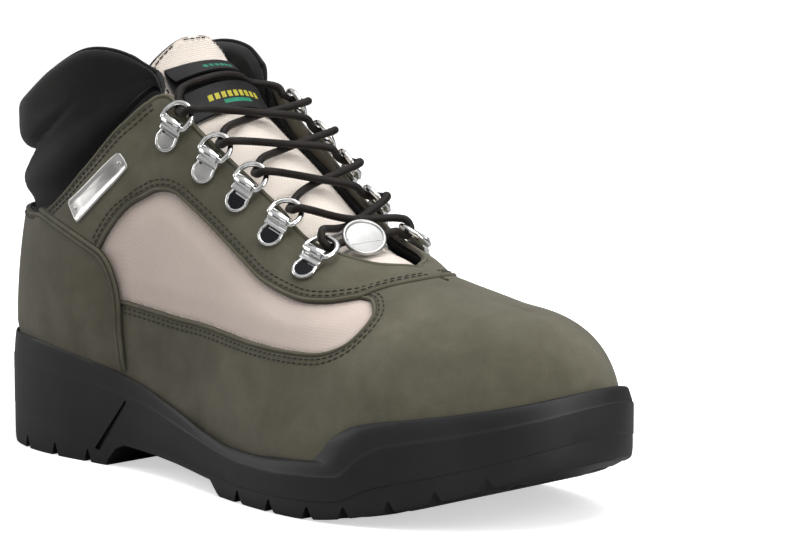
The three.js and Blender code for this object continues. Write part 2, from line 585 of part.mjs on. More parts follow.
// Padded collar: one section for each station from the outer throat corner round the heel
const COLLAR_ROWS = table(
  { crestUp: LEATHER_HEIGHT, lowLobe: COLLAR_PAD, notch: COLLAR_PAD, highLobe: COLLAR_PAD, pad: COLLAR_PAD },
  [
    [1.02, 0.05, 0.04, 0.1, 0.5], [1.078, 0.06, 0.05, 0.1, 0.7], [1.085, 0.1, 0.08, 0.13, 0.9],
    [1.035, 0.14, 0.02, 0.22, 1], [0.965, 0.15, -0.08, 0.32, 1.05], [0.93, 0.15, -0.14, 0.36, 1.1],
    [0.927, 0.15, -0.15, 0.38, 1.1],
  ],
);
function collarSection(u) {
  const row = u <= HEEL_STATION ? u - CORNER_STATION : mirror(u) - CORNER_STATION;
  const [crestUp, lowLobe, notch, highLobe, pad] = through(COLLAR_ROWS, Math.min(row, COLLAR_ROWS.length - 1), false);
  const inside = UPPER_WALL + CLEARANCE;
  const top = upperFace(u, 1);
  const normal = upperNormal(u, 1);
  const flat = new THREE.Vector3(normal.x, normal.y, 0).normalize();
  const rise = crestUp - top.z;
  const lowV = levelAt(u, Math.max(top.z - COLLAR_TUCK, 0.42 * LEATHER_HEIGHT));
  const middleV = (lowV + 1) / 2;
  const free = (out, share) => top.clone().addScaledVector(flat, out).add(new THREE.Vector3(0, 0, rise * share));
  const edge = upperOffset(u, 1, -inside);
  const innerEdge = edge.clone().addScaledVector(flat, -pad);
  const crestOut = highLobe * 0.5 - 0.35 * pad;
  return [
    upperOffset(u, lowV, -inside),
    upperOffset(u, middleV, -inside),
    edge,
    free(lowLobe - 2 * CLEARANCE, 0.06 + 0.1 * Math.min(1, rise / (4 * COLLAR_PAD))),
    free(lowLobe, 0.28),
    free(notch, 0.46),
    free(highLobe * 0.8, 0.62),
    free(highLobe, 0.8),
    free(highLobe * 0.8, 0.94),
    free(crestOut, 1),
    free(-0.85 * pad - inside, 0.93),
    free(-pad - inside, 0.7),
    innerEdge,
    upperOffset(u, middleV, -inside - 0.8 * pad),
    upperOffset(u, lowV, -inside - 0.25 * pad),
  ];
}
function collar() {
  const stations = U.filter((u) => u >= CORNER_STATION && u <= STATIONS - CORNER_STATION);
  return stackRings(stations.map(collarSection), { fans: true });
}
add("collar", collar(), PAD_CLOTH);

// Tongue: centre line from under the vamp to the top, crowned across
const TONGUE_CENTRE = 0.04 * BALL_WIDTH;
const TONGUE_ROWS = table({ along: SOLE_LENGTH, up: LEATHER_HEIGHT, half: BALL_WIDTH, crown: BALL_WIDTH }, [
  [0.715, 0.533, 0.14, 0.03], [0.672, 0.583, 0.165, 0.05], [0.6, 0.63, 0.205, 0.065], [0.546, 0.711, 0.205, 0.075],
  [0.477, 0.808, 0.215, 0.075], [0.404, 0.905, 0.215, 0.075], [0.348, 0.996, 0.195, 0.08], [0.325, 1.06, 0.185, 0.085],
  [0.313, 1.119, 0.14, 0.06],
]);
function tongueFrame(place) {
  const step = 0.05;
  const last = TONGUE_ROWS.length - 1;
  const [x, z, half, crown] = through(TONGUE_ROWS, place, false);
  const back = through(TONGUE_ROWS, Math.max(0, place - step), false);
  const ahead = through(TONGUE_ROWS, Math.min(last, place + step), false);
  const up = new THREE.Vector3(ahead[0] - back[0], 0, ahead[1] - back[1]).normalize();
  const front = new THREE.Vector3(up.z, 0, -up.x);
  return { centre: new THREE.Vector3(x, TONGUE_CENTRE, z), half, crown, up, front };
}
// Point over the tongue: across from -1 to 1, lifted off its front face.
function onTongue(place, across, lift) {
  const { centre, half, crown, front } = tongueFrame(place);
  return centre.clone().add(new THREE.Vector3(0, across * half, 0))
    .addScaledVector(front, lift - crown * across * across);
}
function tongue() {
  const ACROSS = [-1, -0.75, -0.5, -0.25, 0, 0.25, 0.5, 0.75, 1];
  const last = TONGUE_ROWS.length - 1;
  const sections = [];
  for (let place = 0; place <= last + 1e-6; place += 0.5) {
    const thin = (a) => TONGUE_THICKNESS * (1 - 0.6 * a ** 4);
    sections.push([
      ...ACROSS.map((a) => onTongue(Math.min(place, last), a, 0)),
      ...[...ACROSS].reverse().map((a) => onTongue(Math.min(place, last), a, -thin(a))),
    ]);
  }
  return stackRings(sections, { fans: true });
}
add("tongue", tongue(), FACING_CLOTH);

// Label: a band folded to a loop across the tongue, with the top run of lace through it
const LABEL_FROM = 5.5;
const LABEL_TO = 6.95;
const LABEL_LIFT = 2 * CLEARANCE;
const LABEL_OPENING = 2 * LACE_RADIUS + 8 * CLEARANCE;
// Length of the tongue's centre line that one row of its table takes up.
function rowLength(place) {
  const step = 0.05;
  const back = through(TONGUE_ROWS, place - step, false);
  const ahead = through(TONGUE_ROWS, place + step, false);
  return Math.hypot(ahead[0] - back[0], ahead[1] - back[1]) / (2 * step);
}
function label() {
  const STEPS = 5;
  const half = LABEL_WIDTH / 2;
  const { half: tongueHalf } = tongueFrame((LABEL_FROM + LABEL_TO) / 2);
  const section = (across, inset) => {
    const low = LABEL_FROM + inset / rowLength(LABEL_FROM);
    const high = LABEL_TO - inset / rowLength(LABEL_TO);
    const bow = LABEL_THICKNESS;
    const bottomLift = LABEL_LIFT + inset;
    const topLift = LABEL_LIFT + 2 * LABEL_THICKNESS + LABEL_OPENING - inset;
    const middle = (bottomLift + topLift) / 2;
    const run = (from, to, lift) => Array.from({ length: STEPS }, (_, k) => (
      onTongue(from + ((to - from) * (k + 0.5)) / STEPS, across, lift)));
    return [
      ...run(low, high, bottomLift), onTongue(high + bow / rowLength(high), across, middle),
      ...run(high, low, topLift), onTongue(low - bow / rowLength(low), across, middle),
    ];
  };
  const stations = [-1, -0.6, -0.2, 0.2, 0.6, 1].map((a) => (a * half) / tongueHalf);
  const outer = stations.map((a) => section(a, 0));
  const inner = stations.map((a) => section(a, LABEL_THICKNESS)).reverse();
  return stackRings([...outer, ...inner], { loop: true });
}
add("tongue_label", label(), PAD_CLOTH);

// Lace hooks: a plate with a barrel, and a ring whose straight side turns in the barrel
const HOOKS = table({ station: 1, level: 1, turnDegrees: 1 }, [
  [10.47, 0.855, 17], [9.53, 0.874, 13], [8.7, 0.87, 10], [7.72, 0.846, 4], [6.62, 0.802, 3],
]);
const BARREL_OUTER = WIRE_RADIUS + CLEARANCE + CLIP_BARREL_WALL;
const FACET_SPARE = 0.35;
function clipOutline(a, d) {
  const straight = CLIP_LENGTH - CLIP_WIDTH / 2;
  if (d < 0 || d > CLIP_LENGTH) return false;
  return d <= straight ? Math.abs(a) <= CLIP_WIDTH / 2 : Math.hypot(a, d - straight) <= CLIP_WIDTH / 2;
}
// Frame of a hook: the plate lies on the leather, `down` points away from the throat, and each plate is
// turned a little towards the heel.
function hookFrame(row, side) {
  const [station, level, turnDegrees] = HOOKS[row];
  const u = side < 0 ? station : mirror(station);
  const normal = upperNormal(u, level);
  const middle = upperFace(u, level);
  const down = upperFace(u, level - 0.05).sub(upperFace(u, level + 0.05));
  down.addScaledVector(normal, -down.dot(normal)).normalize();
  down.applyAxisAngle(normal, side * THREE.MathUtils.degToRad(turnDegrees));
  const across = normal.clone().cross(down).normalize();
  const start = middle.clone().addScaledVector(down, -CLIP_LENGTH / 2);
  let lift = 0;
  for (let du = -0.6; du <= 0.6; du += 0.1) {
    for (let dv = -0.14; dv <= 0.14; dv += 0.02) {
      const sample = upperFace(u + du, Math.min(1, level + dv)).sub(start);
      const [a, d] = [sample.dot(across), sample.dot(down)];
      if (clipOutline(a, d) || (Math.abs(a) < CLIP_WIDTH / 2 && d <= 0 && d > -2 * BARREL_OUTER)) {
        lift = Math.max(lift, sample.dot(normal));
      }
    }
  }
  start.addScaledVector(normal, lift + OVERLAY_RISE + CLEARANCE + FACET_SPARE);
  const hinge = start.clone().addScaledVector(normal, BARREL_OUTER).addScaledVector(down, -0.4 * BARREL_OUTER);
  const angle = THREE.MathUtils.degToRad(RING_LIFT_DEGREES);
  const reach = down.clone().multiplyScalar(-Math.cos(angle)).addScaledVector(normal, Math.sin(angle));
  const face = across.clone().cross(reach).normalize();
  if (face.dot(normal) < 0) face.negate();
  return { start, normal, down, across, hinge, reach, face };
}
function placed(geometry, origin, x, y, z) {
  const matrix = new THREE.Matrix4().makeBasis(x, y, z).setPosition(origin);
  return geometry.applyMatrix4(matrix);
}
function clip(frame) {
  const half = CLIP_WIDTH / 2;
  const straight = CLIP_LENGTH - half;
  const shape = new THREE.Shape();
  shape.moveTo(-half, 0);
  shape.lineTo(half, 0);
  shape.lineTo(half, straight);
  shape.absarc(0, straight, half, 0, Math.PI, false);
  shape.closePath();
  const plate = new THREE.ExtrudeGeometry(shape, { depth: CLIP_PLATE, bevelEnabled: false, curveSegments: 3 });
  const plateSolid = solid(placed(plate, frame.start, frame.across, frame.down, frame.normal));
  const rod = (radius, length) => solid(placed(
    new THREE.CylinderGeometry(radius, radius, length, 8),
    frame.hinge, frame.down, frame.across, frame.normal.clone().negate(),
  ));
  const barrel = rod(BARREL_OUTER, CLIP_WIDTH - 2 * CLIP_BARREL_INSET);
  return fromSolid(plateSolid.add(barrel).subtract(rod(WIRE_RADIUS + CLEARANCE, 2 * CLIP_WIDTH)));
}
function ringPoint(frame, a, r) {
  return frame.hinge.clone().addScaledVector(frame.across, a).addScaledVector(frame.reach, r);
}
function lacingRing(frame) {
  const half = RING_WIDTH / 2;
  const path = [[-half, 0], [half, 0]].map(([a, r]) => ringPoint(frame, a, r));
  const BOW_STEPS = 6;
  for (let k = 0; k <= BOW_STEPS; k += 1) {
    const angle = (Math.PI * k) / BOW_STEPS;
    const r = RING_REACH - half + half * Math.sin(angle);
    path.push(ringPoint(frame, half * 1.04 * Math.cos(angle), r));
  }
  return tube(path, WIRE_RADIUS, 6, true);
}
const hooks = HOOKS.map((_, row) => ({ lateral: hookFrame(row, -1), medial: hookFrame(row, 1) }));
hooks.forEach((pair, row) => {
  for (const side of ["lateral", "medial"]) {
    add(`lace_clip_${side}_${row + 1}`, clip(pair[side]), STEEL);
    add(`lace_ring_${side}_${row + 1}`, lacingRing(pair[side]), STEEL);
  }
});

// Lacing: a bar at the bottom, four crossings and the top run, each clear of the rings they pass
const PASS = WIRE_RADIUS + CLEARANCE + LACE_RADIUS;
function overRing(frame) {
  return [
    ringPoint(frame, 0, 0.55 * RING_REACH).addScaledVector(frame.face, PASS + LACE_SLACK),
    ringPoint(frame, 0, RING_REACH).addScaledVector(frame.face, PASS + LACE_SLACK),
    ringPoint(frame, 0, 1.45 * RING_REACH).addScaledVector(frame.face, PASS),
  ];
}
function underRing(frame) {
  return [
    ringPoint(frame, 0, 1.35 * RING_REACH).addScaledVector(frame.face, -PASS),
    ringPoint(frame, 0, RING_REACH).addScaledVector(frame.face, -1.06 * PASS),
    ringPoint(frame, 0, 0.8 * RING_REACH).addScaledVector(frame.face, -0.82 * PASS),
  ];
}
function strand(from, to, middle) {
  return solid(tube([...from, ...middle, ...to], LACE_RADIUS, 7));
}
const SNUG = 0.2;
const bottomStart = underRing(hooks[4].lateral).reverse();
const bottomEnd = underRing(hooks[4].medial);
const bottomMiddle = bottomStart[2].clone().lerp(bottomEnd[0], 0.5);
add("lace_bar_low", fromSolid(strand(bottomStart, bottomEnd, [bottomMiddle])), CORD);
for (let row = 3; row >= 0; row -= 1) {
  const low = hooks[row + 1];
  const high = hooks[row];
  const one = [overRing(low.lateral), underRing(high.medial)];
  const two = [overRing(low.medial), underRing(high.lateral)];
  const middle = one[0][2].clone().add(one[1][0]).add(two[0][2]).add(two[1][0]).multiplyScalar(0.25);
  const crossing = strand(one[0], one[1], [middle]).add(strand(two[0], two[1], [middle]));
  add(`lace_crossing_${row + 1}`, fromSolid(crossing), CORD);
}
const labelLift = LABEL_LIFT + LABEL_THICKNESS + LABEL_OPENING / 2;
const TOP_RUN_PLACE = (LABEL_FROM + LABEL_TO) / 2;
const topRun = [-0.85, -0.42, 0, 0.42, 0.85].map((across) => onTongue(TOP_RUN_PLACE, across, labelLift));
const topStrand = strand(overRing(hooks[0].lateral), overRing(hooks[0].medial).reverse(), topRun);
add("lace_bar_top", fromSolid(topStrand), CORD);

// Lace keeper: an oval medallion before the bottom bar, with a wire frame at each end that reaches behind it
const MEDALLION_TILT_DEGREES = 54;
function laceKeeper() {
  const along = bottomEnd[0].clone().sub(bottomStart[2]).normalize();
  const tilt = THREE.MathUtils.degToRad(MEDALLION_TILT_DEGREES);
  const face = new THREE.Vector3(Math.sin(tilt), 0, Math.cos(tilt));
  face.addScaledVector(along, -face.dot(along)).normalize();
  const up = face.clone().cross(along);
  const lift = LACE_RADIUS + CLEARANCE + SNUG;
  const shape = new THREE.Shape();
  shape.absellipse(0, 0, MEDALLION_LENGTH / 2, MEDALLION_HEIGHT / 2, 0, 2 * Math.PI, false, 0);
  const disc = new THREE.ExtrudeGeometry(shape, { depth: MEDALLION_THICKNESS, bevelEnabled: false, curveSegments: 8 });
  let body = solid(placed(disc, bottomMiddle.clone().addScaledVector(face, lift), along, up, face));
  const at = (a, b, out) => (
    bottomMiddle.clone().addScaledVector(along, a).addScaledVector(up, b).addScaledVector(face, out));
  const half = FRAME_HEIGHT / 2;
  const behind = -(LACE_RADIUS + CLEARANCE + FRAME_WIRE);
  for (const end of [-1, 1]) {
    const inner = end * 0.36 * MEDALLION_LENGTH;
    const outer = end * (MEDALLION_LENGTH / 2 + FRAME_REACH);
    const wire = [
      [inner, half, lift + FRAME_WIRE], [outer, half, behind], [outer, -half, behind], [inner, -half, lift + FRAME_WIRE],
    ];
    body = body.add(solid(tube(wire.map((corner) => at(...corner)), FRAME_WIRE, 5)));
  }
  return fromSolid(body);
}
add("lace_keeper", laceKeeper(), STEEL);

// Bare plate on the outer ankle
const PLATE_CORNERS = table({ station: 1, level: 1 }, [[11.45, 0.74], [12.9, 0.71], [13.35, 0.88], [11.9, 0.85]]);
function sidePlate() {
  const [ACROSS, UP] = [6, 3];
  const place = (s, t) => {
    const [a, b, c, d] = PLATE_CORNERS;
    const mix = (k) => (a[k] * (1 - s) + b[k] * s) * (1 - t) + (d[k] * (1 - s) + c[k] * s) * t;
    return [mix(0), mix(1)];
  };
  const layer = (distance) => Array.from({ length: ACROSS + 1 }, (_, i) => (
    Array.from({ length: UP + 1 }, (_unused, j) => upperOffset(...place(i / ACROSS, j / UP), distance))));
  const base = OVERLAY_RISE + CLEARANCE + 0.1;
  const [low, high] = [layer(base), layer(base + PLATE_THICKNESS)];
  const sections = low.map((row, i) => [...row, ...[...high[i]].reverse()]);
  return stackRings(sections, { fans: true });
}
add("side_plate", sidePlate(), STEEL);

// The boot's own frame: middle of its length and width, on the ground
boot.updateMatrixWorld(true);
const box = new THREE.Box3().setFromObject(boot);
boot.position.set(-(box.min.x + box.max.x) / 2, -(box.min.y + box.max.y) / 2, -box.min.z);

export default boot;
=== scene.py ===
"""Dressed model of the field boot, right shoe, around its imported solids.

Lengths are millimetres from the back of the heel: x towards the toe, y towards the inner side, z up.
to_frame() turns them into the frame's metres. Stations u run round the boot from the toe (0) over the
outer side to the heel (17) and back over the inner side; levels v run from the sole (0) to the top (1).
"""
import math

import bmesh
import bpy
import numpy as np
from mathutils import Matrix, Vector
from mathutils.geometry import delaunay_2d_cdt


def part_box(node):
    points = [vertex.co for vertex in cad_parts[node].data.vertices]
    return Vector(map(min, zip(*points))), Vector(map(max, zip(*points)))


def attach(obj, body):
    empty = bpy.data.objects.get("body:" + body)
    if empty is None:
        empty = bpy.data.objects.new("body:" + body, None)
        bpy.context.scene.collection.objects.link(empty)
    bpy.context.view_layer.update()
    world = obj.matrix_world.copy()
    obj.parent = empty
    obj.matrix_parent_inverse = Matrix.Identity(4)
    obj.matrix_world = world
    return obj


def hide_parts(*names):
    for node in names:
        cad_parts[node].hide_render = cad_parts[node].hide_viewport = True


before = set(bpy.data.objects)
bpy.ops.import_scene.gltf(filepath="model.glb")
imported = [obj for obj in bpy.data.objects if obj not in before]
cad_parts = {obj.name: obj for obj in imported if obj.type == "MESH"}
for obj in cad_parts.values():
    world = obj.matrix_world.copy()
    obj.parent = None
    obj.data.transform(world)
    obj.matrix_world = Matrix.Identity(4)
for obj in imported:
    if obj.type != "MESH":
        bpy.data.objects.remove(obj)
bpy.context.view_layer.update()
LATERAL = -1
MEDIAL = 1

# Driving sizes
MM = 0.001
SOLE_LENGTH = 302.0
BALL_WIDTH = 112.0
LEATHER_HEIGHT = 151.0
RIM_HEIGHT = 43.0
TOE_SPRING = 24.0
CLEARANCE = 0.3
UPPER_WALL = 2.4
OVERLAY_RISE = 0.8
PANEL_DEPTH = 1.0
INSOLE_THICKNESS = 4.0
LUG_DEPTH = 5.0
LUG_NOTCH_WIDTH = 5.0
LUG_REACH = 17.0
CHANNEL_WIDTH = 3.5
ARCH_LIFT = 9.4
TREAD_DEPTH = 5.6
TREAD_LEAN = 6.5
COLLAR_PAD = 10.0
COLLAR_TUCK = 32.0
TONGUE_THICKNESS = 5.0
LACE_RADIUS = 1.55
WIRE_RADIUS = 1.1
CLIP_WIDTH = 10.4
CLIP_LENGTH = 11.0
CLIP_BARREL_WALL = 0.8
RING_WIDTH = 12.2
RING_REACH = 9.0
LACE_TURN = 14.8
LACE_DROP = 6.5
BAR_DROP = 2.5
KEEPER_SHIFT = 3.5
RING_LIFT_DEGREES = -13.0
MEDALLION_LENGTH = 19.0
MEDALLION_HEIGHT = 15.4
MEDALLION_THICKNESS = 1.6
MEDALLION_TILT_DEGREES = 54.0
FRAME_REACH = 2.0
FRAME_HEIGHT = 8.0
FRAME_WIRE = 0.7
LABEL_WIDTH = 38.0
LABEL_THICKNESS = 1.2


def table(columns, rows):
    """Rows of shares turned into lengths: each column is a share of one size."""
    return np.array(rows, float) * np.array(columns, float)


# Widest line of the sole seen from above: along and out
SOLE_COLUMNS = (SOLE_LENGTH, BALL_WIDTH)
SOLE_LATERAL = table(SOLE_COLUMNS, [
    [1, 0.107], [0.987, -0.063], [0.954, -0.205], [0.904, -0.321], [0.841, -0.42], [0.765, -0.487],
    [0.682, -0.509], [0.596, -0.482], [0.513, -0.429], [0.43, -0.375], [0.348, -0.348], [0.265, -0.353],
    [0.182, -0.357], [0.116, -0.335], [0.06, -0.272], [0.017, -0.152], [0, 0],
])
SOLE_MEDIAL = table(SOLE_COLUMNS, [
    [1, 0.107], [0.997, 0.232], [0.974, 0.339], [0.93, 0.42], [0.864, 0.473], [0.795, 0.5],
    [0.712, 0.5], [0.629, 0.464], [0.546, 0.402], [0.464, 0.339], [0.381, 0.308], [0.298, 0.308],
    [0.215, 0.33], [0.139, 0.33], [0.066, 0.277], [0.017, 0.152], [0, 0],
])
SIDE_VIEW = (SOLE_LENGTH, LEATHER_HEIGHT)
# Ribs: base along and out, top along, out and up, low handle and its height, high handle and its height
RIB_COLUMNS = (SOLE_LENGTH, BALL_WIDTH, SOLE_LENGTH, BALL_WIDTH, LEATHER_HEIGHT, BALL_WIDTH, 1,
               BALL_WIDTH, 1)
RIBS_LATERAL = table(RIB_COLUMNS, [
    [0.983, 0.107, 0.881, 0.08, 0.5, 0.018, 0.66, 0.268, 1],
    [0.967, -0.071, 0.868, 0.08, 0.505, 0.018, 0.68, 0.286, 1],
    [0.927, -0.223, 0.848, 0.076, 0.512, 0.027, 0.68, 0.295, 1],
    [0.871, -0.339, 0.818, 0.071, 0.523, 0.027, 0.68, 0.295, 1],
    [0.805, -0.424, 0.772, 0.062, 0.545, 0.027, 0.66, 0.286, 0.99],
    [0.735, -0.464, 0.709, 0.054, 0.576, 0.018, 0.64, 0.259, 0.98],
    [0.656, -0.46, 0.671, -0.08, 0.594, 0.009, 0.586, 0.207, 0.935],
    [0.583, -0.429, 0.597, -0.142, 0.636, 0.009, 0.543, 0.169, 0.901],
    [0.51, -0.384, 0.544, -0.157, 0.716, 0.017, 0.486, 0.136, 0.861],
    [0.437, -0.344, 0.476, -0.175, 0.806, 0.035, 0.442, 0.119, 0.809],
    [0.371, -0.321, 0.404, -0.193, 0.9, 0.053, 0.396, 0.119, 0.774],
    [0.311, -0.317, 0.341, -0.205, 1, 0.062, 0.36, 0.107, 0.74],
    [0.258, -0.321, 0.298, -0.286, 0.921, 0.062, 0.36, 0.062, 0.7],
    [0.199, -0.326, 0.235, -0.317, 0.785, 0.054, 0.36, 0.045, 0.7],
    [0.139, -0.312, 0.166, -0.304, 0.685, 0.045, 0.36, 0.045, 0.7],
    [0.079, -0.259, 0.093, -0.241, 0.65, 0.036, 0.36, 0.036, 0.7],
    [0.033, -0.152, 0.033, -0.129, 0.64, 0.027, 0.36, 0.036, 0.7],
    [0.013, 0, 0.01, 0, 0.637, 0.027, 0.36, 0.036, 0.7],
])
RIBS_MEDIAL = table(RIB_COLUMNS, [
    [0.983, 0.107, 0.881, 0.08, 0.5, 0.018, 0.66, 0.268, 1],
    [0.98, 0.223, 0.868, 0.08, 0.505, 0.018, 0.64, 0.268, 1],
    [0.957, 0.33, 0.848, 0.076, 0.512, 0.018, 0.63, 0.263, 1],
    [0.901, 0.411, 0.818, 0.071, 0.523, 0.018, 0.62, 0.25, 1],
    [0.825, 0.46, 0.772, 0.062, 0.545, 0.018, 0.62, 0.25, 0.99],
    [0.745, 0.469, 0.709, 0.054, 0.576, 0.009, 0.62, 0.241, 0.98],
    [0.656, 0.446, 0.681, 0.151, 0.594, 0.009, 0.605, 0.194, 0.944],
    [0.583, 0.402, 0.607, 0.201, 0.637, 0.009, 0.58, 0.162, 0.919],
    [0.51, 0.348, 0.544, 0.221, 0.718, 0.026, 0.528, 0.119, 0.893],
    [0.437, 0.304, 0.476, 0.257, 0.807, 0.052, 0.458, 0.11, 0.842],
    [0.371, 0.286, 0.404, 0.281, 0.9, 0.078, 0.415, 0.097, 0.792],
    [0.311, 0.286, 0.341, 0.304, 1, 0.089, 0.4, 0.08, 0.76],
    [0.258, 0.299, 0.298, 0.321, 0.921, 0.08, 0.38, 0.054, 0.7],
    [0.199, 0.304, 0.235, 0.321, 0.785, 0.054, 0.36, 0.045, 0.7],
    [0.139, 0.295, 0.166, 0.295, 0.685, 0.045, 0.36, 0.045, 0.7],
    [0.079, 0.25, 0.093, 0.241, 0.65, 0.036, 0.36, 0.036, 0.7],
    [0.033, 0.147, 0.033, 0.129, 0.64, 0.027, 0.36, 0.036, 0.7],
    [0.013, 0, 0.01, 0, 0.637, 0.027, 0.36, 0.036, 0.7],
])
# Height of the sole's rim and of the floor inside it, along the boot
RIM = table((SOLE_LENGTH, RIM_HEIGHT), [
    [0, 1.047], [0.108, 1.07], [0.152, 1.047], [0.199, 1.005], [0.248, 0.953], [0.298, 0.895],
    [0.349, 0.814], [0.401, 0.702], [0.455, 0.6], [0.512, 0.512], [0.569, 0.461], [0.626, 0.456],
    [0.684, 0.484], [0.74, 0.512], [0.757, 0.6], [0.771, 0.72], [0.797, 0.845], [0.823, 0.895],
    [0.871, 0.953], [0.932, 1.035], [0.975, 1.116], [1.007, 1.22],
])
CUP_FLOOR = table((SOLE_LENGTH, RIM_HEIGHT), [
    [0, 0.628], [0.199, 0.605], [0.364, 0.442], [0.497, 0.302], [0.712, 0.279], [0.844, 0.395],
    [1.007, 0.767],
])
# Edges of the cloth panel and the counter's seam in the side view: along and up
PANEL_UPPER_EDGE = table(SIDE_VIEW, [
    [0.275, 0.567], [0.295, 0.628], [0.319, 0.683], [0.346, 0.714], [0.366, 0.731], [0.392, 0.729],
    [0.422, 0.697], [0.483, 0.623], [0.523, 0.577], [0.563, 0.538], [0.625, 0.506], [0.67, 0.504],
    [0.705, 0.518],
])
PANEL_LOWER_EDGE = table(SIDE_VIEW, [
    [0.705, 0.518], [0.72, 0.513], [0.737, 0.488], [0.737, 0.455], [0.726, 0.423], [0.702, 0.4],
    [0.67, 0.393], [0.61, 0.394], [0.544, 0.402], [0.47, 0.417], [0.424, 0.422], [0.371, 0.433],
    [0.326, 0.442], [0.308, 0.442],
])
COUNTER_SEAM = table(SIDE_VIEW, [
    [0.12, 0.645], [0.18, 0.622], [0.22, 0.601], [0.262, 0.571], [0.283, 0.548], [0.298, 0.502],
    [0.308, 0.439], [0.31, 0.367], [0.313, 0.31], [0.315, 0.26],
])
# Front edge of the ankle piece over the vamp, as station and level, ending on the ridge
FRONT_EDGE = np.array([[5.15, 0.68], [4.8, 0.79], [4.56, 0.88], [4.45, 0.95], [4.4, 1.0]])
STATIONS = 34
HEEL_STATION = 17
THROAT_STATION = 5
CORNER_STATION = 11


# Curves through tables
def through(rows, place, closed=False):
    """Points of the smooth curve through a table's rows."""
    rows = np.asarray(rows, float)
    place = np.asarray(place, float)
    count = len(rows)
    if closed:
        start = np.floor(place).astype(int)
        p0, p1, p2, p3 = (rows[(start + k) % count] for k in (-1, 0, 1, 2))
    else:
        start = np.clip(np.floor(place).astype(int), 0, count - 2)
        padded = np.vstack([2 * rows[0] - rows[1], rows, 2 * rows[-1] - rows[-2]])
        p0, p1, p2, p3 = (padded[start + k] for k in range(4))
    f = (place - start)[..., None]
    return 0.5 * (2 * p1 + (p2 - p0) * f + (2 * p0 - 5 * p1 + 4 * p2 - p3) * f ** 2
                  + (3 * p1 - p0 - 3 * p2 + p3) * f ** 3)


def curve(rows, steps=8):
    """Smooth curve through rows, with a number of steps between rows."""
    return through(rows, np.linspace(0, len(rows) - 1, (len(rows) - 1) * steps + 1))


def height_at(rows, x):
    """Height read from a two-column table without overshoot."""
    xs, hs = rows[:, 0], rows[:, 1]
    slope = np.diff(hs) / np.diff(xs)
    both = slope[:-1] * slope[1:]
    inner = np.where(both <= 0, 0, 2 * slope[:-1] * slope[1:] / (slope[:-1] + slope[1:] + 1e-12))
    tangent = np.concatenate([slope[:1], inner, slope[-1:]])
    x = np.clip(x, xs[0], xs[-1])
    k = np.clip(np.searchsorted(xs, x, side="left") - 1, 0, len(xs) - 2)
    width = xs[k + 1] - xs[k]
    t = (x - xs[k]) / width
    return ((1 + 2 * t) * (1 - t) ** 2 * hs[k] + t * (1 - t) ** 2 * width * tangent[k]
            + t * t * (3 - 2 * t) * hs[k + 1] + t * t * (t - 1) * width * tangent[k + 1])


def unit(vectors):
    return vectors / np.linalg.norm(vectors, axis=-1, keepdims=True)


def soft_step(x):
    t = np.clip(x, 0, 1)
    return t * t * (3 - 2 * t)


def bell(x, width):
    return np.exp(-(x / width) ** 2)


# The upper's outer face
SOLE_LOOP = np.vstack([SOLE_LATERAL, SOLE_MEDIAL[1:-1][::-1]])
RIB_LOOP = np.vstack([RIBS_LATERAL, RIBS_MEDIAL[1:-1][::-1]])


def sole_outline(u):
    return through(SOLE_LOOP, np.asarray(u, float) * len(SOLE_LOOP) / STATIONS, closed=True)


def sole_bottom(x):
    flat_end = 0.712 * SOLE_LENGTH
    heel_bevel = 0.05 * SOLE_LENGTH
    toe = TOE_SPRING * np.clip((x - flat_end) / (SOLE_LENGTH - flat_end), 0, None) ** 1.7
    return toe + 0.06 * RIM_HEIGHT * np.clip(1 - x / heel_bevel, 0, None) ** 2


def is_ridge(u):
    turn = np.mod(u, STATIONS)
    return (turn <= THROAT_STATION) | (turn >= STATIONS - THROAT_STATION)


def upper_face(u, v):
    u, v = np.broadcast_arrays(np.asarray(u, float), np.asarray(v, float))
    turn = np.mod(u, STATIONS)
    rib = through(RIB_LOOP, turn, closed=True)
    step = 0.05
    ahead, behind = (through(RIB_LOOP, turn + way, closed=True)[..., :2] for way in (step, -step))
    along = ahead - behind
    outward = unit(np.stack([-along[..., 1], along[..., 0], np.zeros_like(turn)], -1))
    other = through(RIB_LOOP, STATIONS - turn, closed=True)
    top = np.where(is_ridge(turn)[..., None], (rib[..., 2:5] + other[..., 2:5]) / 2, rib[..., 2:5])
    floor = height_at(CUP_FLOOR, rib[..., 0]) + CLEARANCE
    rise = top[..., 2] - floor
    up = np.array([0.0, 0.0, 1.0])
    base = np.stack([rib[..., 0], rib[..., 1], floor], -1)
    low = base + outward * rib[..., 5:6] + up * (rib[..., 6] * rise)[..., None]
    high = np.stack([top[..., 0], top[..., 1], floor + rib[..., 8] * rise], -1) + outward * rib[..., 7:8]
    t = v[..., None]
    w = 1 - t
    return w ** 3 * base + 3 * w * w * t * low + 3 * w * t * t * high + t ** 3 * top


def one_normal(u, v):
    du, dv = 0.08, 0.02
    level = np.clip(v, dv, 1 - dv)
    along = upper_face(u + du, level) - upper_face(u - du, level)
    up = upper_face(u, level + dv) - upper_face(u, level - dv)
    return unit(np.cross(up, along))


def upper_normal(u, v):
    u, v = np.broadcast_arrays(np.asarray(u, float), np.asarray(v, float))
    normal = one_normal(u, v)
    both = (is_ridge(u) & (v >= 1 - 1e-9))[..., None]
    return np.where(both, unit(normal + one_normal(-u, v)), normal)


def level_at(u, height):
    low = np.zeros_like(u)
    high = np.full_like(u, 0.9)
    for _ in range(24):
        middle = (low + high) / 2
        below = upper_face(u, middle)[..., 2] < height
        low = np.where(below, middle, low)
        high = np.where(below, high, middle)
    return (low + high) / 2


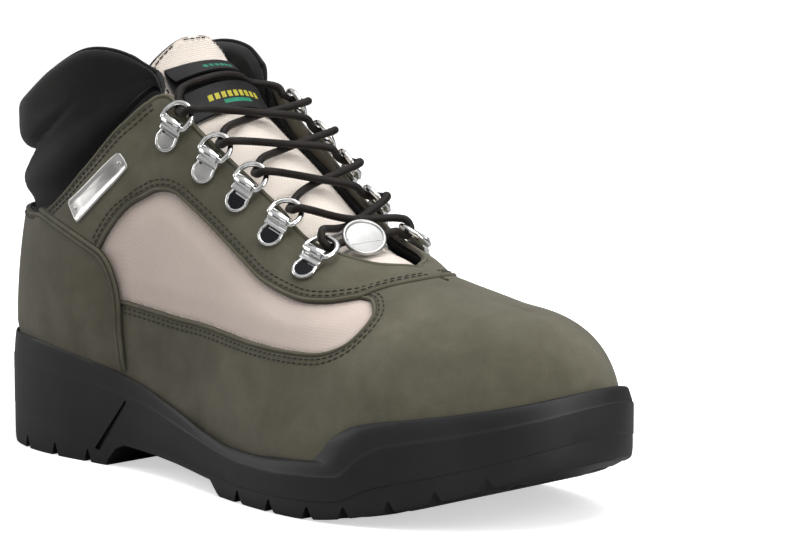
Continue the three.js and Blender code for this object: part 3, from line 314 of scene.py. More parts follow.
# Soft troughs and ridges of the leather, in the shoe's own sizes: both ends (x, y, z), width and depth
RELIEF = np.array([
    [205, -52, 62, 222, -40, 36, 7, 0.5],
    [222, -50, 52, 238, -38, 40, 8, 0.35],
    [190, -46, 50, 170, -44, 34, 10, 0.4],
    [236, -20, 78, 246, -34, 66, 9, 0.35],
    [252, 12, 78, 256, 34, 66, 9, 0.35],
    [214, 48, 62, 226, 52, 40, 8, 0.45],
    [120, -33, 112, 134, -37, 96, 5, 0.45],
    [139, -31, 102, 152, -36, 88, 5, 0.45],
    [158, -31, 94, 170, -38, 80, 5, 0.45],
    [178, -34, 84, 192, -42, 72, 6, 0.45],
    [122, 38, 112, 136, 40, 96, 5, 0.4],
    [160, 36, 94, 172, 42, 80, 5, 0.4],
    [96, -30, 134, 84, -37, 104, 8, 0.5],
    [24, -28, 84, 30, -34, 58, 11, 0.6],
    [20, 26, 84, 28, 32, 58, 11, 0.6],
    [62, -38, 74, 70, -38, 52, 12, -0.5],
])


def distance_to_segments(points, starts, ends):
    """Distance from each point to each segment, and where along the segment it falls."""
    along = ends - starts
    length = np.maximum((along ** 2).sum(-1), 1e-9)
    t = np.clip(((points[:, None] - starts[None]) * along[None]).sum(-1) / length[None], 0, 1)
    nearest = starts[None] + t[..., None] * along[None]
    return np.linalg.norm(points[:, None] - nearest, axis=-1), t


def relief(points):
    flat = points.reshape(-1, 3)
    distance, t = distance_to_segments(flat, RELIEF[:, :3], RELIEF[:, 3:6])
    fade = 0.35 + 0.65 * np.sin(np.pi * np.clip(t, 0.02, 0.98))
    depth = (RELIEF[None, :, 7] * fade * bell(distance, RELIEF[None, :, 6])).sum(-1)
    return -depth.reshape(points.shape[:-1])


def on_face(u, v, lift=0.0):
    """Point over the upper's face, with the leather's own relief."""
    u, v, lift = np.broadcast_arrays(np.asarray(u, float), np.asarray(v, float), np.asarray(lift, float))
    face = upper_face(u, v)
    return face + upper_normal(u, v) * (lift + relief(face))[..., None]


# From these lengths to the frame
SOLE_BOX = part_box("outsole")
OUTLINE = sole_outline(np.linspace(0, STATIONS, 681))
SHIFT = np.array([
    SOLE_BOX[0].x / MM - OUTLINE[:, 0].min(),
    (SOLE_BOX[0].y + SOLE_BOX[1].y) / (2 * MM) - (OUTLINE[:, 1].min() + OUTLINE[:, 1].max()) / 2,
    0.0,
])


def to_frame(points):
    return (np.asarray(points, float) + SHIFT) * MM


# Mesh building
def grid_faces(rows, columns, wrap_rows=False, wrap_columns=False):
    r, c = np.meshgrid(np.arange(rows if wrap_rows else rows - 1),
                       np.arange(columns if wrap_columns else columns - 1), indexing="ij")
    r2, c2 = (r + 1) % rows, (c + 1) % columns
    quads = np.stack([r * columns + c, r * columns + c2, r2 * columns + c2, r2 * columns + c], -1)
    return quads.reshape(-1, 4).tolist()


class Shape:
    """Points, faces and materials of one piece, gathered part by part."""

    def __init__(self):
        self.points = []
        self.faces = []
        self.slots = []
        self.weave = []
        self.shade = []
        self.count = 0

    def add(self, points, faces, slot=0, weave=None, shade=None):
        points = np.asarray(points, float).reshape(-1, 3)
        self.points.append(points)
        self.faces.extend([[k + self.count for k in face] for face in faces])
        self.slots.extend([slot] * len(faces) if np.isscalar(slot) else list(slot))
        self.weave.append(points if weave is None else np.asarray(weave, float).reshape(-1, 3))
        self.shade.append(np.ones(len(points)) if shade is None else np.asarray(shade, float).ravel())
        self.count += len(points)

    def rings(self, rings, caps=True, wrap=False, slot=0, weave=None, shade=None):
        """Closed skin over rings of points, with a flat cap on both ends."""
        rings = np.asarray(rings, float)
        rows, columns = rings.shape[:2]
        faces = grid_faces(rows, columns, wrap_rows=wrap, wrap_columns=True)
        if caps and not wrap:
            faces.append(list(range(columns))[::-1])
            faces.append([(rows - 1) * columns + k for k in range(columns)])
        self.add(rings, faces, slot, weave, shade)

    def sheet(self, front, back, slots=(0, 0, 0), weave=None, shade=None):
        """Closed sheet between two grids of points; slots holds those of its front, back and rim."""
        rows, columns = front.shape[:2]
        number = rows * columns
        rim = (list(range(columns)) + [columns * r + columns - 1 for r in range(1, rows)]
               + [number - 2 - k for k in range(columns - 1)]
               + [columns * r for r in range(rows - 2, 0, -1)])
        faces = grid_faces(rows, columns)
        counts = (len(faces), len(faces), len(rim))
        faces += [[k + number for k in face[::-1]] for face in faces]
        faces += [[a, b, b + number, a + number] for a, b in zip(rim, rim[1:] + rim[:1])]
        slot = np.concatenate([np.broadcast_to(np.ravel(part), n) for part, n in zip(slots, counts)])
        points = np.vstack([front.reshape(-1, 3), back.reshape(-1, 3)])
        weave = None if weave is None else np.tile(weave.reshape(-1, 3), (2, 1))
        shade = None if shade is None else np.tile(shade.ravel(), 2)
        self.add(points, faces, slot, weave, shade)

    def across(self, ring, columns, flip, height=None):
        """Skin over a ring of points: straight lines from its first half to its second."""
        count = len(ring)
        half = count // 2
        share = np.linspace(0, 1, columns + 1)[:, None]
        first = ring[:half + 1, None]
        second = np.roll(ring[::-1], 1, axis=0)[:half + 1, None]
        points = first + (second - first) * share
        if height is not None:
            points[:, 1:-1, 2] = height(points[:, 1:-1, 0])
        faces = grid_faces(half + 1, columns + 1)
        self.add(points, [face[::-1] for face in faces] if flip else faces)

    def build(self, name, materials, node, slot, merge=0.0, sharp=40, recalculate=True):
        mesh = bpy.data.meshes.new(name)
        points = to_frame(np.vstack(self.points))
        mesh.from_pydata(points.tolist(), [], self.faces)
        mesh.polygons.foreach_set("material_index", self.slots)
        weave = mesh.attributes.new("weave", "FLOAT_VECTOR", "POINT")
        weave.data.foreach_set("vector", np.vstack(self.weave).ravel())
        shade = mesh.attributes.new("shade", "FLOAT", "POINT")
        shade.data.foreach_set("value", np.concatenate(self.shade))
        mesh.update()
        if merge or recalculate:
            work = bmesh.new()
            work.from_mesh(mesh)
            if merge:
                bmesh.ops.remove_doubles(work, verts=work.verts, dist=merge * MM)
            if recalculate:
                bmesh.ops.recalc_face_normals(work, faces=work.faces)
            work.to_mesh(mesh)
            work.free()
        piece = bpy.data.objects.new(name, mesh)
        bpy.context.scene.collection.objects.link(piece)
        for material in materials:
            mesh.materials.append(material)
        mesh.polygons.foreach_set("use_smooth", [True] * len(mesh.polygons))
        mesh.set_sharp_from_angle(angle=math.radians(sharp))
        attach(piece, "root")
        if node:
            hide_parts(*([node] if isinstance(node, str) else node))
        return piece


def transport_frames(path, closed=False):
    """Two directions square to a path at each of its points, without twist."""
    if closed:
        tangent = unit(np.roll(path, -1, 0) - np.roll(path, 1, 0))
    else:
        tangent = unit(np.gradient(path, axis=0))
    side = unit(np.cross(np.array([0.31, 0.87, 0.38]), tangent[0]))
    sides = []
    for k in range(len(path)):
        side = side - tangent[k] * (side @ tangent[k])
        side = side / np.linalg.norm(side)
        sides.append(side)
    sides = np.array(sides)
    return sides, np.cross(tangent, sides)


def tube_rings(path, radius, sides=12, closed=False):
    a, b = transport_frames(path, closed)
    angle = np.linspace(0, 2 * np.pi, sides, endpoint=False)
    radius = np.broadcast_to(np.asarray(radius, float), (len(path),))[:, None, None]
    return path[:, None] + radius * (a[:, None] * np.cos(angle)[None, :, None]
                                     + b[:, None] * np.sin(angle)[None, :, None])


def spaced(path, spacing):
    """The same path with evenly spaced points."""
    steps = np.linalg.norm(np.diff(path, axis=0), axis=1)
    length = np.concatenate([[0], np.cumsum(steps)])
    count = max(2, int(round(length[-1] / spacing)))
    where = np.linspace(0, length[-1], count + 1)
    return np.stack([np.interp(where, length, path[:, k]) for k in range(3)], -1)


def face_frame(uv, lift):
    """Points over a line on the face, with the line's own directions: along, out and sideways."""
    points = on_face(uv[:, 0], uv[:, 1], lift)
    along = unit(np.gradient(points, axis=0))
    out = upper_normal(uv[:, 0], uv[:, 1])
    out = unit(out - along * (out * along).sum(-1, keepdims=True))
    return points, along, out, np.cross(out, along)


def face_cord(uv, lift, radius, shift=0.0, sides=10, flatten=1.0):
    """Rings of a cord that lies along a line on the face, moved sideways by a shift."""
    points, _, out, sideways = face_frame(uv, lift)
    angle = np.linspace(0, 2 * np.pi, sides, endpoint=False)
    points = points + sideways * shift
    return points[:, None] + radius * (sideways[:, None] * np.cos(angle)[None, :, None]
                                       + flatten * out[:, None] * np.sin(angle)[None, :, None])


# Stitches
STITCH_LENGTH = 2.2
STITCH_GAP = 0.6
THREAD_RADIUS = 0.27


def add_stitches(shape, points, normals):
    """A row of stitches along a path: each dips into the material at both ends."""
    length, gap, radius = STITCH_LENGTH, STITCH_GAP, THREAD_RADIUS
    steps = np.linalg.norm(np.diff(points, axis=0), axis=1)
    run = np.concatenate([[0], np.cumsum(steps)])
    count = int((run[-1] - length) // (length + gap))
    if count < 1:
        return
    starts = (run[-1] - count * (length + gap)) / 2 + np.arange(count) * (length + gap)
    share = np.array([0.0, 0.12, 0.35, 0.65, 0.88, 1.0])
    dip = np.array([-1.0, -0.1, 0.55, 0.55, -0.1, -1.0]) * radius
    thick = np.array([0.6, 0.95, 1.0, 1.0, 0.95, 0.6]) * radius
    where = starts[:, None] + share[None] * length
    at = np.stack([np.interp(where, run, points[:, k]) for k in range(3)], -1)
    out = unit(np.stack([np.interp(where, run, normals[:, k]) for k in range(3)], -1))
    along = unit(np.broadcast_to((at[:, -1] - at[:, 0])[:, None], at.shape))
    sideways = unit(np.cross(out, along))
    angle = np.linspace(0, 2 * np.pi, 6, endpoint=False)
    centre = at + out * dip[None, :, None]
    x, y = np.cos(angle)[None, None, :, None], np.sin(angle)[None, None, :, None]
    round_it = sideways[:, :, None] * x + out[:, :, None] * y
    rings = centre[:, :, None] + thick[None, :, None, None] * round_it
    faces = []
    block = grid_faces(6, 6, wrap_columns=True) + [[5, 4, 3, 2, 1, 0], [30, 31, 32, 33, 34, 35]]
    for k in range(count):
        faces.extend([[j + 36 * k for j in face] for face in block])
    shape.add(rings, faces)


# Materials
def grey(value):
    return (value, value, value)


def fill_ramp(node, stops):
    elements = node.color_ramp.elements
    while len(elements) < len(stops):
        elements.new(0.5)
    for element, (position, colour) in zip(elements, stops):
        element.position = position
        element.color = (*colour, 1)


class Graph:
    """A material's node tree, with short ways to add its nodes."""

    def __init__(self, name, **sockets):
        self.material = bpy.data.materials.new(name)
        self.material.use_nodes = True
        self.tree = self.material.node_tree
        self.shader = self.tree.nodes["Principled BSDF"]
        for key, value in sockets.items():
            self.shader.inputs[key.replace("_", " ")].default_value = value

    def node(self, kind, inputs=None, **settings):
        node = self.tree.nodes.new(kind)
        for key, value in settings.items():
            setattr(node, key, value)
        for key, value in (inputs or {}).items():
            if isinstance(value, bpy.types.NodeSocket):
                self.tree.links.new(value, node.inputs[key])
            else:
                node.inputs[key].default_value = value
        return node

    def math(self, operation, a, b=0.0, c=0.0):
        return self.node("ShaderNodeMath", {0: a, 1: b, 2: c}, operation=operation).outputs[0]

    def object_space(self):
        return self.node("ShaderNodeTexCoord").outputs["Object"]

    def attribute(self, name, output="Vector"):
        return self.node("ShaderNodeAttribute", attribute_name=name).outputs[output]

    def noise(self, vector, scale, detail=2.0, roughness=0.5, distortion=0.0):
        node = self.node("ShaderNodeTexNoise", {"Vector": vector, "Scale": scale, "Detail": detail,
                                                "Roughness": roughness, "Distortion": distortion})
        return node.outputs["Fac"]

    def ramp(self, value, stops):
        node = self.node("ShaderNodeValToRGB", {"Fac": value})
        fill_ramp(node, stops)
        return node.outputs["Color"]

    def scaled(self, value, low, high):
        node = self.node("ShaderNodeMapRange", {"Value": value, "To Min": low, "To Max": high})
        return node.outputs["Result"]

    def times(self, colour, factor):
        return self.node("ShaderNodeVectorMath", {0: colour, "Scale": factor}, operation="SCALE").outputs[0]

    def bump(self, height, distance, strength=1.0, under=None):
        inputs = {"Height": height, "Distance": distance, "Strength": strength}
        if under is not None:
            inputs["Normal"] = under
        return self.node("ShaderNodeBump", inputs).outputs["Normal"]

    def finish(self, colour=None, roughness=None, normal=None):
        for name, socket in (("Base Color", colour), ("Roughness", roughness), ("Normal", normal)):
            if socket is not None:
                self.tree.links.new(socket, self.shader.inputs[name])
        return self.material


def nubuck(name, dark, middle, light):
    g = Graph(name, Sheen_Weight=0.12, Sheen_Roughness=0.5, Specular_IOR_Level=0.25)
    at = g.object_space()
    cloud = g.noise(at, 22, 3, 0.55, 0.4)
    patch = g.noise(at, 95, 4, 0.6, 0.3)
    mixed = g.math("MULTIPLY_ADD", patch, 0.35, g.math("MULTIPLY", cloud, 0.65))
    colour = g.ramp(mixed, [(0.36, dark), (0.5, middle), (0.66, light)])
    fleck = g.scaled(g.noise(at, 900, 2, 0.7), 0.9, 1.1)
    shade = g.math("MULTIPLY", g.attribute("shade", "Fac"), fleck)
    nap = g.noise(at, 2600, 3, 0.7)
    grain = g.noise(at, 420, 3, 0.6)
    height = g.math("MULTIPLY_ADD", nap, 0.45, g.math("MULTIPLY", grain, 0.55))
    rough = g.scaled(mixed, 0.72, 0.92)
    return g.finish(g.times(colour, shade), rough, g.bump(height, 0.00022, 0.55))


def woven(name, dark, light, wale=0.95, turn=0.0, depth=0.00016, sheen=0.2):
    """Twill: raised diagonal wales, each broken into yarn lengths."""
    g = Graph(name, Sheen_Weight=sheen, Sheen_Roughness=0.4, Specular_IOR_Level=0.25)
    at = g.attribute("weave")
    turned = g.node("ShaderNodeMapping", {"Vector": at, "Rotation": (0, 0, turn)}).outputs["Vector"]
    split = g.node("ShaderNodeSeparateXYZ", {"Vector": turned})
    wobble = g.math("MULTIPLY", g.noise(at, 0.35, 2), 0.35)
    across = g.math("ADD", split.outputs["X"], wobble)
    wales = g.math("ABSOLUTE", g.math("SINE", g.math("MULTIPLY", across, math.pi / wale)))
    phase = g.math("MULTIPLY", g.math("FLOOR", g.math("DIVIDE", across, wale)), 0.37)
    yarn = g.math("ADD", g.math("DIVIDE", split.outputs["Y"], 1.5 * wale), phase)
    yarns = g.math("ABSOLUTE", g.math("SINE", g.math("MULTIPLY", yarn, math.pi)))
    height = g.math("MULTIPLY", g.math("POWER", wales, 0.7), g.math("MULTIPLY_ADD", yarns, 0.4, 0.6))
    cloud = g.noise(at, 0.03, 3, 0.6)
    # The yarns' height sets the tone: painted shade in the valleys between wales, a painted highlight on
    # the raised yarns
    tone = g.math("MULTIPLY_ADD", height, 0.55, g.math("MULTIPLY", cloud, 0.45))
    colour = g.ramp(tone, [(0.15, dark), (0.75, light)])
    shade = g.times(colour, g.attribute("shade", "Fac"))
    fuzz = g.noise(at, 6.0, 2, 0.7)
    relief = g.bump(fuzz, 0.00004, 0.5, g.bump(height, depth, 0.9))
    return g.finish(shade, g.scaled(fuzz, 0.78, 0.95), relief)


def knit(name, dark, light, pitch=0.9, depth=0.00012):
    """Fine knitted cloth over foam."""
    g = Graph(name, Sheen_Weight=0.16, Sheen_Roughness=0.4, Specular_IOR_Level=0.15)
    at = g.attribute("weave")
    split = g.node("ShaderNodeSeparateXYZ", {"Vector": at})
    rows = g.math("SINE", g.math("MULTIPLY", split.outputs["Y"], 2 * math.pi / pitch))
    skew = g.math("MULTIPLY_ADD", rows, 0.18, split.outputs["X"])
    loops = g.math("SINE", g.math("MULTIPLY", skew, 2 * math.pi / pitch))
    height = g.math("MULTIPLY_ADD", loops, 0.3, g.math("MULTIPLY", rows, 0.2))
    cloud = g.noise(g.object_space(), 30, 3)
    colour = g.ramp(cloud, [(0.3, dark), (0.7, light)])
    shade = g.times(colour, g.attribute("shade", "Fac"))
    return g.finish(shade, g.scaled(cloud, 0.85, 0.97), g.bump(height, depth, 0.6))


def rubber():
    g = Graph("satin_rubber", Specular_IOR_Level=0.32)
    at = g.object_space()
    cloud = g.noise(at, 40, 3)
    colour = g.ramp(cloud, [(0.3, (0.011, 0.011, 0.012)), (0.7, (0.017, 0.017, 0.019))])
    pores = g.noise(at, 1500, 3, 0.6)
    waves = g.noise(at, 120, 2, 0.5)
    height = g.math("MULTIPLY_ADD", pores, 0.4, g.math("MULTIPLY", waves, 0.6))
    return g.finish(colour, g.scaled(cloud, 0.42, 0.56), g.bump(height, 0.00018, 0.45))


def metal(name, colour, low, high, wear=0.00003):
    g = Graph(name, Metallic=1.0)
    at = g.object_space()
    cloud = g.noise(at, 160, 3, 0.6)
    tone = g.ramp(cloud, [(0.3, tuple(0.86 * c for c in colour)), (0.7, colour)])
    fine = g.noise(at, 1900, 2, 0.6)
    return g.finish(tone, g.scaled(fine, low, high), g.bump(cloud, wear, 0.35))


def thread(name, colour):
    g = Graph(name, Sheen_Weight=0.2, Specular_IOR_Level=0.3)
    at = g.object_space()
    twist = g.noise(at, 3500, 2, 0.6)
    tone = g.ramp(twist, [(0.3, tuple(0.6 * c for c in colour)), (0.7, colour)])
    return g.finish(tone, g.scaled(twist, 0.6, 0.8), g.bump(twist, 0.0001, 0.6))


def braid(name, dark, light):
    g = Graph(name, Sheen_Weight=0.06, Sheen_Roughness=0.4, Specular_IOR_Level=0.25)
    at = g.object_space()
    fine = g.noise(at, 2800, 2, 0.6)
    cloud = g.noise(at, 120, 2, 0.6)
    shade = g.math("MULTIPLY", g.attribute("shade", "Fac"), g.scaled(fine, 0.8, 1.2))
    colour = g.times(g.ramp(cloud, [(0.3, dark), (0.7, light)]), shade)
    return g.finish(colour, g.scaled(fine, 0.5, 0.68), g.bump(fine, 0.0001, 0.5))


def band(name, dark, light):
    """Satin woven tape: fine ribs across its width."""
    g = Graph(name, Sheen_Weight=0.04, Specular_IOR_Level=0.25)
    at = g.attribute("weave")
    split = g.node("ShaderNodeSeparateXYZ", {"Vector": at})
    ribs = g.math("SINE", g.math("MULTIPLY", split.outputs["Y"], 2 * math.pi / 0.55))
    ends = g.math("SINE", g.math("MULTIPLY", split.outputs["X"], 2 * math.pi / 0.4))
    height = g.math("MULTIPLY_ADD", ends, 0.2, g.math("MULTIPLY", ribs, 0.35))
    # Painted shade in the rib valleys and a painted highlight on the ribs
    tone = g.scaled(height, 0.8, 1.2)
    colour = g.times(g.ramp(g.noise(at, 0.2, 2), [(0.3, dark), (0.7, light)]), tone)
    return g.finish(colour, g.scaled(g.noise(at, 3, 2), 0.42, 0.6), g.bump(height, 0.0001, 0.6))


NUBUCK = nubuck("nubuck_olive", (0.082, 0.076, 0.05), (0.105, 0.098, 0.067), (0.138, 0.129, 0.093))
# Dark brown of the leather's cut edges; the same material is laid as thin cords beside and between the
# piping's welts as painted shade
CUT_EDGE_AND_SHADE = thread("cut_edge_and_painted_shade", (0.045, 0.035, 0.022))
FACING = woven("facing_twill", (0.56, 0.465, 0.415), (0.68, 0.575, 0.515),
               turn=math.radians(-34), depth=0.0001)
TONGUE_CLOTH = woven("tongue_twill", (0.68, 0.59, 0.52), (0.86, 0.78, 0.7),
                     wale=0.8, turn=math.radians(86))
PAD = knit("pad_knit", (0.011, 0.011, 0.011), (0.019, 0.019, 0.018))
LINING = knit("lining_knit", (0.016, 0.016, 0.017), (0.03, 0.03, 0.032), pitch=1.4, depth=0.0002)
RUBBER = rubber()
STEEL = metal("bright_nickel", (0.86, 0.86, 0.85), 0.08, 0.2)
# Near-black metal for the inset fields of the lower plates: a painted dark reflection
INSET_PAINTED_REFLECTION = metal("inset_painted_dark_reflection", (0.035, 0.035, 0.04), 0.18, 0.34)
SATIN_STEEL = metal("satin_nickel", (0.66, 0.65, 0.63), 0.24, 0.4, 0.00006)
WORN_STEEL = metal("worn_nickel", (0.5, 0.5, 0.49), 0.3, 0.46, 0.00012)
THREAD = thread("dark_thread", (0.03, 0.024, 0.018))
LACE = braid("lace_braid", (0.005, 0.0033, 0.0024), (0.012, 0.008, 0.006))
TAPE = band("label_tape", (0.004, 0.004, 0.005), (0.008, 0.008, 0.009))
GREEN_TAPE = band("label_green", (0.01, 0.2, 0.11), (0.02, 0.32, 0.18))
YELLOW_TAPE = band("label_yellow", (0.45, 0.4, 0.03), (0.62, 0.55, 0.06))


# Lines on the face
def station(w, side):
    """Station of one side from its count back from the toe: the inner side counts below zero."""
    return -side * np.asarray(w, float)


def locate(outline, side):
    """Station and level where the face passes points of the side view."""
    stations = np.linspace(3.5, 16, 251)
    levels = np.linspace(0.02, 1, 99)
    grid = upper_face(station(stations, side)[:, None], levels[None])[..., [0, 2]].reshape(-1, 2)
    nearest = np.array([np.argmin(((grid - target) ** 2).sum(-1)) for target in outline])
    w, v = stations[nearest // 99], levels[nearest % 99]
    step = 1e-3
    for _ in range(5):
        here = upper_face(station(w, side), v)[:, [0, 2]]
        by_w = (upper_face(station(w + step, side), v)[:, [0, 2]] - here) / step
        by_v = (upper_face(station(w, side), v + step)[:, [0, 2]] - here) / step
        miss = outline - here
        det = by_w[:, 0] * by_v[:, 1] - by_w[:, 1] * by_v[:, 0]
        w = w + np.clip((miss[:, 0] * by_v[:, 1] - miss[:, 1] * by_v[:, 0]) / det, -0.2, 0.2)
        v = v + np.clip((by_w[:, 0] * miss[:, 1] - by_w[:, 1] * miss[:, 0]) / det, -0.05, 0.05)
        v = np.clip(v, 0.01, 1)
    return np.stack([station(w, side), v], -1)


def resample(uv, spacing):
    """Line on the face with evenly spaced points."""
    fine = np.vstack([np.linspace(a, b, 12, endpoint=False) for a, b in zip(uv[:-1], uv[1:])] + [uv[-1:]])
    points = upper_face(fine[:, 0], fine[:, 1])
    length = np.concatenate([[0], np.cumsum(np.linalg.norm(np.diff(points, axis=0), axis=1))])
    count = max(2, int(round(length[-1] / spacing)))
    where = np.linspace(0, length[-1], count + 1)
    return np.stack([np.interp(where, length, fine[:, k]) for k in (0, 1)], -1)


def moved(uv, direction, distance, steps=4):
    """Stations and levels moved over the face along a direction in space."""
    uv = uv.copy()
    h = 1e-3
    for _ in range(steps):
        level = np.clip(uv[:, 1], 0.005, 0.995)
        by_u = (upper_face(uv[:, 0] + h, level) - upper_face(uv[:, 0] - h, level)) / (2 * h)
        by_v = (upper_face(uv[:, 0], level + h) - upper_face(uv[:, 0], level - h)) / (2 * h)
        aa, ab, bb = (by_u ** 2).sum(-1), (by_u * by_v).sum(-1), (by_v ** 2).sum(-1)
        ga, gb = (by_u * direction).sum(-1), (by_v * direction).sum(-1)
        det = aa * bb - ab * ab
        uv[:, 0] += (bb * ga - ab * gb) / det * distance / steps
        uv[:, 1] += (aa * gb - ab * ga) / det * distance / steps
    return uv


SEAM_TOP_STATION = 14.45
SEAM_TOP_LEVEL = 0.945
# Top line of the leather in front of the counter, and of the counter itself, as station and level
TOP_LINE = [[11.3, 0.955], [12.2, 0.975], [13.1, 0.99], [13.8, 0.975]]
COUNTER_TOP = [[15.0, 0.96], [15.7, 0.985], [16.4, 0.998], [17.0, 0.999], [17.6, 0.998], [18.3, 0.985],
               [19.0, 0.96]]
EDGE_SPACING = 1.15


def side_lines(side):
    """The named lines of one side, as stations and levels."""
    seam = locate(curve(COUNTER_SEAM), side)
    seam = np.vstack([[station(SEAM_TOP_STATION, side), SEAM_TOP_LEVEL], seam[seam[:, 1] < 0.92]])
    panel_top = locate(curve(PANEL_UPPER_EDGE), side)
    panel_low = locate(curve(PANEL_LOWER_EDGE), side)
    front = FRONT_EDGE.copy()
    front[:, 0] = station(front[:, 0], side)
    front[0] = panel_top[-1]
    front = curve(front)
    return {"seam": seam, "panel_top": panel_top, "panel_low": panel_low, "front": front}


LINES = {side: side_lines(side) for side in (LATERAL, MEDIAL)}


def near_index(line, uv):
    points = upper_face(line[:, 0], line[:, 1])
    target = upper_face(uv[0], uv[1])
    return int(np.argmin(np.linalg.norm(points - target, axis=-1)))


# Leather pieces: the edge's ridge and furrow, and the mesh's rows, as distances in from the cut edge
EDGE_RIDGE = 0.95
FURROW = 1.9
RINGS = [0.1, 0.25, 0.45, 0.7, 1.0, 1.3, 1.6, 1.9, 2.2, 2.6, 3.1, 3.8, 4.7, 5.6]


def leather_profile(distance, level, depth, rows):
    """Height over the face beside a cut edge: rounded edge, ridge, furrow, and a dip at each stitch row."""
    roll = 0.9
    t = np.clip(distance / roll, 0, 1)
    height = depth + (level - depth) * np.sqrt(np.clip(1 - (1 - t) ** 2, 0, 1))
    height = height + 0.22 * bell(distance - EDGE_RIDGE, 0.5) - 0.3 * bell(distance - FURROW, 0.32)
    for row in rows:
        height = height - 0.14 * bell(distance - row, 0.5)
    return height


def leather_shade(distance):
    """Painted shade in the furrow, darker at the cut, and a painted highlight on the ridge."""
    dark = 0.5 * bell(distance - FURROW, 0.3) + 0.35 * bell(distance, 0.35)
    return 1 - dark + 0.1 * bell(distance - EDGE_RIDGE, 0.35)


def patch(shape, borders, level, back, rows=(), settle=None):
    """Closed leather piece over the region inside its borders.

    borders is a list of (kind, line): edge is a cut edge that shows, hidden lies under another piece,
    and ridge joins the two sides over the boot's middle.
    """
    spacing = 2.0
    lines = [(kind, resample(line, EDGE_SPACING)) for kind, line in borders]
    border = np.vstack([line[:-1] for _, line in lines])
    kinds = np.concatenate([[kind] * (len(line) - 1) for kind, line in lines])
    scale = np.array([20.0, 100.0])
    loop = border * scale
    area = np.sum(loop[:, 0] * np.roll(loop[:, 1], -1) - np.roll(loop[:, 0], -1) * loop[:, 1])
    turn = np.sign(area)
    edge_lines = [line for kind, line in lines if kind == "edge"]
    starts = np.vstack([upper_face(line[:-1, 0], line[:-1, 1]) for line in edge_lines])
    ends = np.vstack([upper_face(line[1:, 0], line[1:, 1]) for line in edge_lines])

    def edge_distance(uv):
        points = upper_face(uv[:, 0], uv[:, 1])
        result = np.empty(len(uv))
        for k in range(0, len(uv), 2000):
            result[k:k + 2000] = distance_to_segments(points[k:k + 2000], starts, ends)[0].min(-1)
        return result

    inside_points = []
    for line in edge_lines:
        along = np.gradient(upper_face(line[:, 0], line[:, 1]), axis=0)
        normal = upper_normal(line[:, 0], line[:, 1])
        inward = unit(np.cross(along, normal)) * turn
        probe = moved(line, inward, 0.5, 1)
        if not inside(probe[len(probe) // 2] * scale, loop):
            inward = -inward
        for distance in RINGS:
            ring = moved(line, inward, distance)
            keep = (edge_distance(ring) > distance - 0.07) & (ring[:, 1] < 0.9995)
            inside_points.append(ring[keep])
    low, high = border.min(0), border.max(0)
    us = np.arange(low[0], high[0], spacing / 17)
    vs = np.arange(low[1], min(high[1], 0.9975), spacing / 95)
    grid = np.stack(np.meshgrid(us, vs, indexing="ij"), -1)
    grid[1::2, :, 1] += 0.5 * spacing / 95
    grid = grid.reshape(-1, 2)
    grid = grid[(edge_distance(grid) > RINGS[-1] + 0.6 * spacing) & (grid[:, 1] < 0.9975)]
    border_gap = np.empty(len(grid))
    for k in range(0, len(grid), 2000):
        some = grid[k:k + 2000, None] * scale - loop[None]
        border_gap[k:k + 2000] = np.sqrt((some ** 2).sum(-1)).min(-1)
    inside_points.append(grid[border_gap > 0.55 * spacing])
    extra = np.vstack(inside_points)
    extra = extra[inside(extra * scale, loop)]
    count = len(border)
    edges = [(k, (k + 1) % count) for k in range(count)]
    coordinates = [Vector(p) for p in np.vstack([loop, extra * scale])]
    verts, _, faces, origin, _, _ = delaunay_2d_cdt(coordinates, edges, [], 1, 1e-6)
    uv = np.array([[p[0], p[1]] for p in verts]) / scale
    uv[:, 1] = np.minimum(uv[:, 1], 1.0)
    distance = edge_distance(uv)
    height = leather_profile(distance, level, back, rows)
    if settle is not None:
        height = settle(uv, height)
    front = on_face(uv[:, 0], uv[:, 1], height)
    under = on_face(uv[:, 0], uv[:, 1], np.full(len(uv), back - 0.05))
    faces = [list(face) for face in faces]
    tri = np.array(faces)
    normal = np.cross(front[tri[:, 1]] - front[tri[:, 0]], front[tri[:, 2]] - front[tri[:, 0]])
    outward = upper_normal(uv[tri[:, 0], 0], uv[tri[:, 0], 1])
    flip = (normal * outward).sum(-1) < 0
    tri[flip] = tri[flip][:, ::-1]
    number = len(uv)
    position = {}
    for new, old in enumerate(origin):
        for k in old:
            position[k] = new
    sides = []
    for k in range(count):
        if kinds[k] == "ridge":
            continue
        a, b = position[k], position[(k + 1) % count]
        sides.append([a, b, b + number, a + number])
    shade = leather_shade(distance)
    near = distance[tri].max(-1) < 0.3
    slots = np.concatenate([near.astype(int), np.zeros(len(tri), int), np.ones(len(sides), int)])
    shape.add(np.vstack([front, under]), tri.tolist() + (tri[:, ::-1] + number).tolist() + sides, slots,
              shade=np.concatenate([shade, np.ones(number)]))


def inside(points, loop):
    """Whether points of the plane lie inside a closed loop."""
    points = np.atleast_2d(points)
    x, y = points[:, 0][:, None], points[:, 1][:, None]
    result = np.zeros(len(points), bool)
    x1, y1 = loop[:, 0][None], loop[:, 1][None]
    x2, y2 = np.roll(loop[:, 0], -1)[None], np.roll(loop[:, 1], -1)[None]
    for k in range(0, len(points), 4000):
        part = slice(k, k + 4000)
        crossing = ((y1 > y[part]) != (y2 > y[part])) & (
            x[part] < (x2 - x1) * (y[part] - y1) / np.where(y2 == y1, 1e-9, y2 - y1) + x1)
        result[part] = crossing.sum(-1) % 2 == 1
    return result if len(result) > 1 else bool(result[0])


PANEL_ROWS = (2.9, 4.7)
TOP_ROWS = (2.7, 4.6)


def sunk_at_sole(uv, height):
    """Overlays thin out towards the sole, so that they run down into its cup."""
    z = upper_face(uv[:, 0], uv[:, 1])
    over = z[:, 2] - height_at(RIM, z[:, 0] - 6)
    low = np.minimum(height, 0.08)
    return low + (height - low) * soft_step((over + 0.5) / 5)


